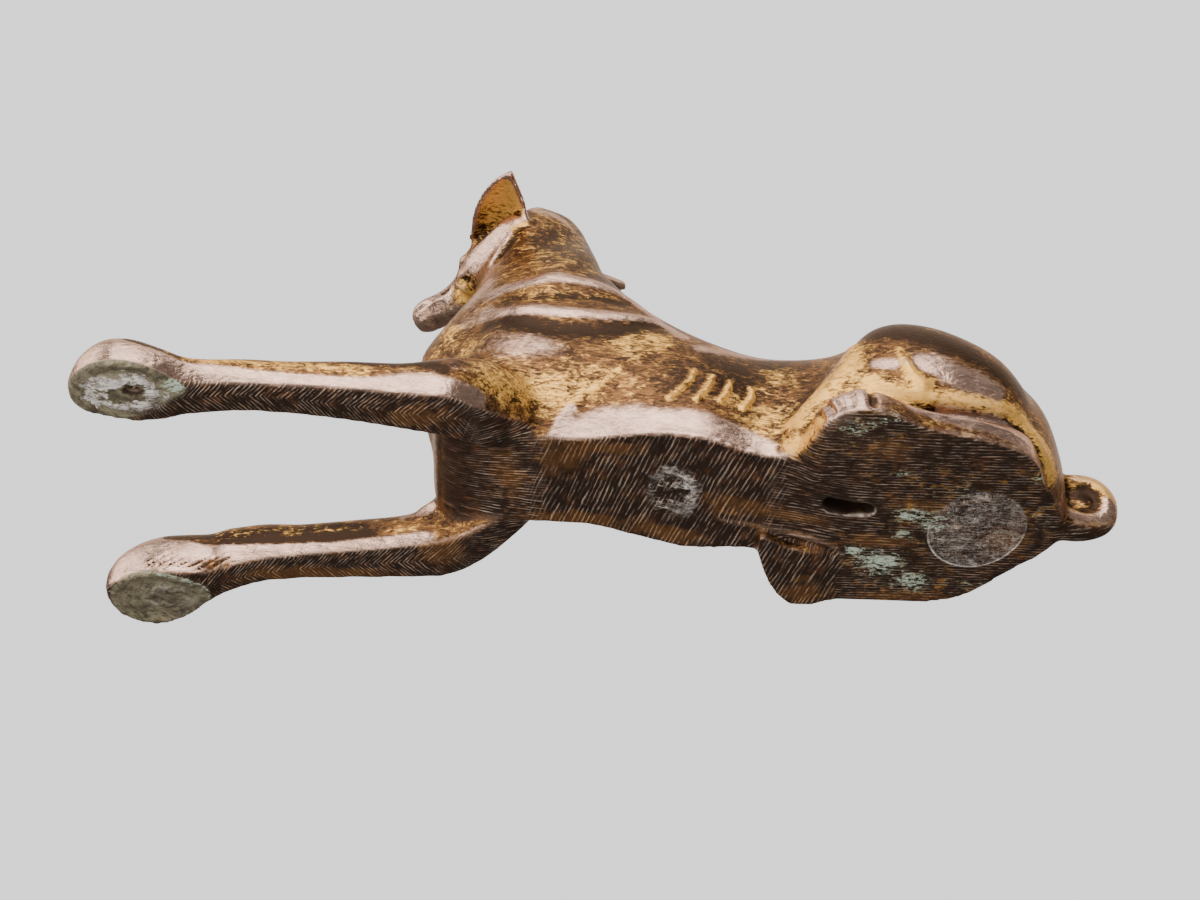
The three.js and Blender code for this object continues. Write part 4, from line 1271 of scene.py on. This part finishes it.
def verdigris_crust(f, g, r, marks, broken, patina):
    """Flecky verdigris in its marks and on the rim of the right sole: its colour and where it lies."""
    rim_side = ((r.y - SOLES[-1][1]) * 0.10 + (103.0 - r.x) * 0.07 + g.mix(drift=1.6)).step(0.1, 0.9)
    rim = (1 - r.left) * r.sole * f.oval(r.x, r.y, *SOLES[-1]).step(0.82, 0.98) * rim_side
    green = marks.math("MAXIMUM", 0.0) * r.floor + rim * 0.5
    speckle = g.mix(mottle=2.6, curls=3.0, speck=1.6) + (broken - 0.5) * 2.0
    mask = (green.math("MINIMUM", 0.7) * 1.5 + speckle - 0.65).step(0.0, 0.45) * green.step(0.0, 0.1)
    bright = green * 1.1 + g.mix(curls=1.8, speck=1.2)
    return f.colour(bright.step(0.15, 1.0), patina.moss, patina.verdigris), mask


def pale_remains(f, g, r):
    """Where old glue and solder lie: the disc of glue on the haunch with its bead, the scab on the belly,
    the solder on the soles and the pale lip of the vent."""
    x, y = r.x, r.y
    disc = f.oval(x, y, *GLUE_DISC) + g.mix(patchy=0.04)
    scribble = 1 - abs(f.noise(1.8, 3, 0.6, warp=2.5) - 0.5).step(0.0, 0.045)
    film = (1 - disc.step(0.93, 1.0)) * (scribble * 0.6 + g.mix(mottle=1.3, patchy=0.8) + 0.04)
    bead = disc.between(0.968, 0.99, 0.015) * (-y * 0.09 + g.mix(patchy=2.4) + 0.35).kept() * 0.8

    ragged = f.oval(x, y, *SCAR) + g.mix(mottle=1.4, drift=0.8)
    scab = (1 - ragged.step(0.8, 1.25)) * (g.curls * 0.9 + g.mottle * 0.4).step(0.62, 0.80)
    scab = scab * g.drift.step(0.42, 0.62) * 0.9
    crescent = ragged.between(0.75, 1.0, 0.2) * g.curls.step(0.35, 0.6)
    crescent = crescent * (1 - (x - y * 0.6 + r.jag).step(-18.0, -8.0))

    left_ring = f.oval(x, y, *SOLDER[1]) + g.mix(mottle=1.1, drift=1.6)
    right_ring = f.oval(x, y, *SOLDER[-1]) + g.mix(mottle=1.2)
    solder = left_ring.between(0.62, 0.95, 0.12) * (g.curls * 0.8 + g.mottle * 0.6).step(0.45, 0.8) * 1.5
    solder = solder + right_ring.between(0.6, 0.95, 0.25) * g.drift.step(0.4, 0.6) * 0.3
    solder = solder * r.sole * (0.6 + (g.curls - 0.4) * 1.4)

    lip = r.slot.between(2.2, 2.5, 0.35) * r.floor * (0.15 + (-y + VENT["y"]).step(-1.5, 1.5) * 0.5)
    pale = (film + bead) * r.floor * r.haunch + (scab + crescent * 0.6) * r.belly + solder
    pale = pale + lip * g.mottle.step(0.35, 0.55) * 0.7
    return (pale + g.mix(mottle=0.25) * pale.step(0.0, 0.2)).kept()


def patinated_bronze(patina):
    """Brown-black patina, ochre where it was rubbed thin, pinkish bare metal on the ridges, a file-hatched
    underside, verdigris, and pale remains of glue and solder."""
    f = Finish("patinated_bronze")
    g = Grain(f)
    r = Regions(f, g)
    hatch = f.attribute("hatch").kept()
    marks = f.patches(r.x, r.y, VERDIGRIS_MARKS)

    top, ochre_mask, polish_mask = worn_top(f, g, patina)
    under, filed, broken = filed_ground(f, g, r, marks, patina)
    skin = f.colour(hatch, top, under)

    stone = (broken * 0.25 + g.mottle * 0.5 + g.patchy * 0.35).step(0.45, 0.66)
    skin = f.colour(r.sole, skin, f.colour(stone, patina.slate, patina.olive))
    verdigris, green_mask = verdigris_crust(f, g, r, marks, broken, patina)
    skin = f.colour((green_mask * (0.45 + g.curls * 0.8)).kept(), skin, verdigris)
    pale_mask = pale_remains(f, g, r)
    residue = f.colour((g.curls * 0.5 + g.mottle * 0.5).step(0.4, 0.6), patina.glue, patina.residue)
    skin = f.colour(pale_mask, skin, residue)
    pits = [1 - (f.oval(r.x, r.y, *PITS[hand]) + g.mix(mottle=0.6)).step(0.7, 1.1) for hand in (1, -1)]
    skin = f.colour((pits[0] + pits[1] * 0.6).kept() * r.sole + r.in_slot, skin, patina.soot)

    crust = green_mask.math("MAXIMUM", pale_mask).math("MAXIMUM", r.sole * 0.8).kept()
    bare = polish_mask * (1 - hatch)
    dull = ochre_mask * (1 - bare) * (1 - hatch)
    rough = 0.36 + dull * 0.10 - bare * 0.16 + g.mix(mottle=0.18, curls=0.2)
    rough = rough + hatch * 0.06 + crust * 0.3 + r.in_slot * 0.3
    metallic = (0.66 + bare * 0.24 + dull * 0.03 - hatch * 0.19) * (1 - crust * 0.9)
    f.feed(f.shader.inputs["Base Color"], skin)
    f.feed(f.shader.inputs["Roughness"], rough.kept())
    f.feed(f.shader.inputs["Metallic"], metallic.kept())
    f.feed(f.shader.inputs["Specular Tint"], rgb(patina.sheen))

    ripple = f.noise(3.2, 2, 0.5, stretch=(2.4, 1, 1), warp=0.8)
    bumps = g.mix(mottle=0.12) * (1 - bare * 0.7) + g.mix(speck=0.06) * (1 - bare)
    bumps = bumps + (ripple - 0.5) * 0.45 * bare + g.mix(curls=0.10) * (1 - hatch)
    bumps = bumps + filed * hatch * (1 - crust) * 0.3 + crust * g.mix(curls=0.3)
    bump = f.node("ShaderNodeBump", {}, {"Strength": 0.9, "Distance": MM, "Height": bumps})
    f.feed(f.shader.inputs["Normal"], bump.outputs[0])
    return f.material


class Patina(bpy.types.PropertyGroup):
    """Colours of the bronze."""

    umber: swatch("Umber", "Darkest patina", (0.026, 0.013, 0.007))
    brown: swatch("Brown", "Warm brown patina", (0.22, 0.098, 0.034))
    ochre: swatch("Ochre", "Thin rubbed patina", (0.62, 0.29, 0.052))
    gold: swatch("Gold", "Brightest specks of rubbed patina", (1.0, 0.57, 0.14))
    bare: swatch("Bare metal", "Worn metal on the ridges", (0.44, 0.27, 0.195))
    rose: swatch("Rose metal", "Pinkish worn metal", (0.68, 0.455, 0.355))
    sheen: swatch("Sheen", "Tint of the reflections", (0.80, 0.58, 0.44))
    soot: swatch("Soot", "Dark ground under the file strokes", (0.036, 0.021, 0.015))
    rust: swatch("Rust", "Red-brown ground under the file strokes", (0.15, 0.062, 0.028))
    copper: swatch("Copper", "Crests of the file strokes", (0.70, 0.42, 0.22))
    grey: swatch("Grey", "Dull crests of the file strokes", (0.54, 0.43, 0.35))
    slate: swatch("Slate", "Dark ground of the soles", (0.060, 0.052, 0.036))
    olive: swatch("Olive", "Light ground of the soles", (0.27, 0.235, 0.15))
    moss: swatch("Moss", "Dark verdigris", (0.16, 0.17, 0.085))
    verdigris: swatch("Verdigris", "Pale verdigris", (0.60, 0.72, 0.58))
    glue: swatch("Glue", "Grey film of old glue", (0.38, 0.31, 0.28))
    residue: swatch("Residue", "Whitest glue and solder", (0.85, 0.81, 0.75))


class BRONZE_OT_greyhound(bpy.types.Operator):
    """Casts the greyhound in one piece, in place of its plain solid"""

    bl_idname = "bronze.greyhound"
    bl_label = "Greyhound casting"

    def execute(self, context):
        dog = cast_skin(context.scene.greyhound_casting)
        dog.data.materials.clear()
        dress(dog.data)
        dog.data.materials.append(patinated_bronze(context.scene.greyhound_patina))
        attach(dog, "root")
        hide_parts("greyhound")
        return {"FINISHED"}


# Softboxes: name, place, side, blue of their warm white; each one's power is a setting of the studio.
SOFTBOXES = [
    ("key", (0.06, 0.95, 0.02), 0.8, 0.95),
    ("side", (0.75, 0.65, -0.05), 0.6, 0.95),
    ("high", (0.04, 0.82, 0.58), 0.9, 0.95),
    ("front", (0.82, 0.2, 0.45), 0.8, 0.95),
    ("under", (0.7, 0.25, -0.5), 0.5, 0.95),
    ("low", (0.15, 0.35, -0.75), 0.5, 0.94),
]
LIGHT_AIM = Vector((0, 0, 0.035))
SKY_FALL = Vector((0.25, 0.45, -1))
BACKDROP = (0.86, 0.86, 0.87, 1)
FLOOR_LEVEL = -0.0004

# The camera below the dog's left side: its place, and its right, up and back directions.
CAMERA_AT = (0.0232115, 0.3372034, -0.3000384)
CAMERA_AXES = (
    (-0.9983534, 0.0572411, -0.0037261),
    (0.0367849, 0.6887076, 0.7241055),
    (0.0440148, 0.7227761, -0.6896792),
)


def put_light(kind, name, place, toward, **settings):
    """A light of a kind at a place, turned to shine in a direction."""
    light = bpy.data.lights.new(name, kind)
    for setting, value in settings.items():
        setattr(light, setting, value)
    lamp = bpy.data.objects.new(name, light)
    lamp.location = place
    lamp.rotation_euler = Vector(toward).to_track_quat("-Z", "Y").to_euler()
    bpy.context.scene.collection.objects.link(lamp)
    return lamp


def floor_paint(colour):
    """Matt paint on the floor's upper side; the lower side is clear, so the dog shows from below."""
    paint = bpy.data.materials.new("floor")
    paint.use_nodes = True
    tree = paint.node_tree
    shader = tree.nodes["Principled BSDF"]
    shader.inputs["Base Color"].default_value = rgb(colour)
    shader.inputs["Roughness"].default_value = 0.8
    clear = tree.nodes.new("ShaderNodeBsdfTransparent")
    back = tree.nodes.new("ShaderNodeNewGeometry")
    mix = tree.nodes.new("ShaderNodeMixShader")
    tree.links.new(back.outputs["Backfacing"], mix.inputs[0])
    tree.links.new(shader.outputs[0], mix.inputs[1])
    tree.links.new(clear.outputs[0], mix.inputs[2])
    tree.links.new(mix.outputs[0], tree.nodes["Material Output"].inputs["Surface"])
    return paint


def studio_world(studio):
    """Dim plain surroundings for the lighting, a pale backdrop for the camera."""
    world = bpy.data.worlds.new("studio")
    world.use_nodes = True
    nodes, links = world.node_tree.nodes, world.node_tree.links
    dim, pale = nodes["Background"], nodes.new("ShaderNodeBackground")
    dim.inputs["Color"].default_value = (1, 1, 1, 1)
    dim.inputs["Strength"].default_value = studio.surroundings
    pale.inputs["Color"].default_value = BACKDROP
    pale.inputs["Strength"].default_value = studio.backdrop
    path, mix = nodes.new("ShaderNodeLightPath"), nodes.new("ShaderNodeMixShader")
    links.new(path.outputs["Is Camera Ray"], mix.inputs[0])
    links.new(dim.outputs[0], mix.inputs[1])
    links.new(pale.outputs[0], mix.inputs[2])
    links.new(mix.outputs[0], nodes["World Output"].inputs["Surface"])
    return world


class BRONZE_OT_stage(bpy.types.Operator):
    """Sets the floor, the lights and the camera"""

    bl_idname = "bronze.stage"
    bl_label = "Stage"

    def execute(self, context):
        studio = context.scene.greyhound_studio
        half = studio.floor_size / 2
        mesh = bpy.data.meshes.new("floor")
        corners = [(-half, -half), (half, -half), (half, half), (-half, half)]
        mesh.from_pydata([(*corner, FLOOR_LEVEL) for corner in corners], [], [(0, 1, 2, 3)])
        mesh.materials.append(floor_paint(studio.floor_colour))
        floor = bpy.data.objects.new("floor", mesh)
        context.scene.collection.objects.link(floor)
        for kind in ("visible_shadow", "visible_diffuse", "visible_glossy", "visible_transmission"):
            setattr(floor, kind, False)

        for name, place, side, blue in SOFTBOXES:
            power, toward = getattr(studio, f"{name}_power"), LIGHT_AIM - Vector(place)
            look = {"size": side, "energy": power, "color": (1.0, 0.97, blue)}
            put_light("AREA", f"{name}_light", place, toward, **look).visible_camera = False
        put_light("SUN", "sky_light", (0, 0, 0), SKY_FALL, energy=studio.top_power, angle=math.radians(90))
        context.scene.world = studio_world(studio)

        lens = bpy.data.cameras.new("camera")
        lens.lens, lens.sensor_width = studio.lens, 36.0
        lens.clip_start, lens.clip_end = 0.01, 20.0
        camera = bpy.data.objects.new("camera", lens)
        context.scene.collection.objects.link(camera)
        turn = Matrix(CAMERA_AXES).transposed().to_4x4()
        camera.matrix_world = Matrix.Translation(CAMERA_AT) @ turn
        context.scene.camera = camera
        return {"FINISHED"}


class BRONZE_PT_panel(bpy.types.Panel):
    """Sizes and steps of the statuette"""

    bl_idname = "BRONZE_PT_panel"
    bl_label = "Greyhound"
    bl_space_type = "VIEW_3D"
    bl_region_type = "UI"
    bl_category = "Greyhound"

    def draw(self, context):
        for group in ("greyhound_casting", "greyhound_patina", "greyhound_studio"):
            owner = getattr(context.scene, group)
            for name in owner.__annotations__:
                self.layout.prop(owner, name)
        self.layout.operator("bronze.greyhound")
        self.layout.operator("bronze.stage")


CLASSES = (Casting, Patina, Studio, BRONZE_OT_greyhound, BRONZE_OT_stage, BRONZE_PT_panel)


def register():
    for kind in CLASSES:
        bpy.utils.register_class(kind)
    bpy.types.Scene.greyhound_casting = bpy.props.PointerProperty(type=Casting)
    bpy.types.Scene.greyhound_patina = bpy.props.PointerProperty(type=Patina)
    bpy.types.Scene.greyhound_studio = bpy.props.PointerProperty(type=Studio)


def unregister():
    del bpy.types.Scene.greyhound_casting
    del bpy.types.Scene.greyhound_patina
    del bpy.types.Scene.greyhound_studio
    for kind in reversed(CLASSES):
        bpy.utils.unregister_class(kind)


def main():
    register()
    bpy.ops.bronze.greyhound()
    bpy.ops.bronze.stage()


if __name__ == "__main__":
    main()
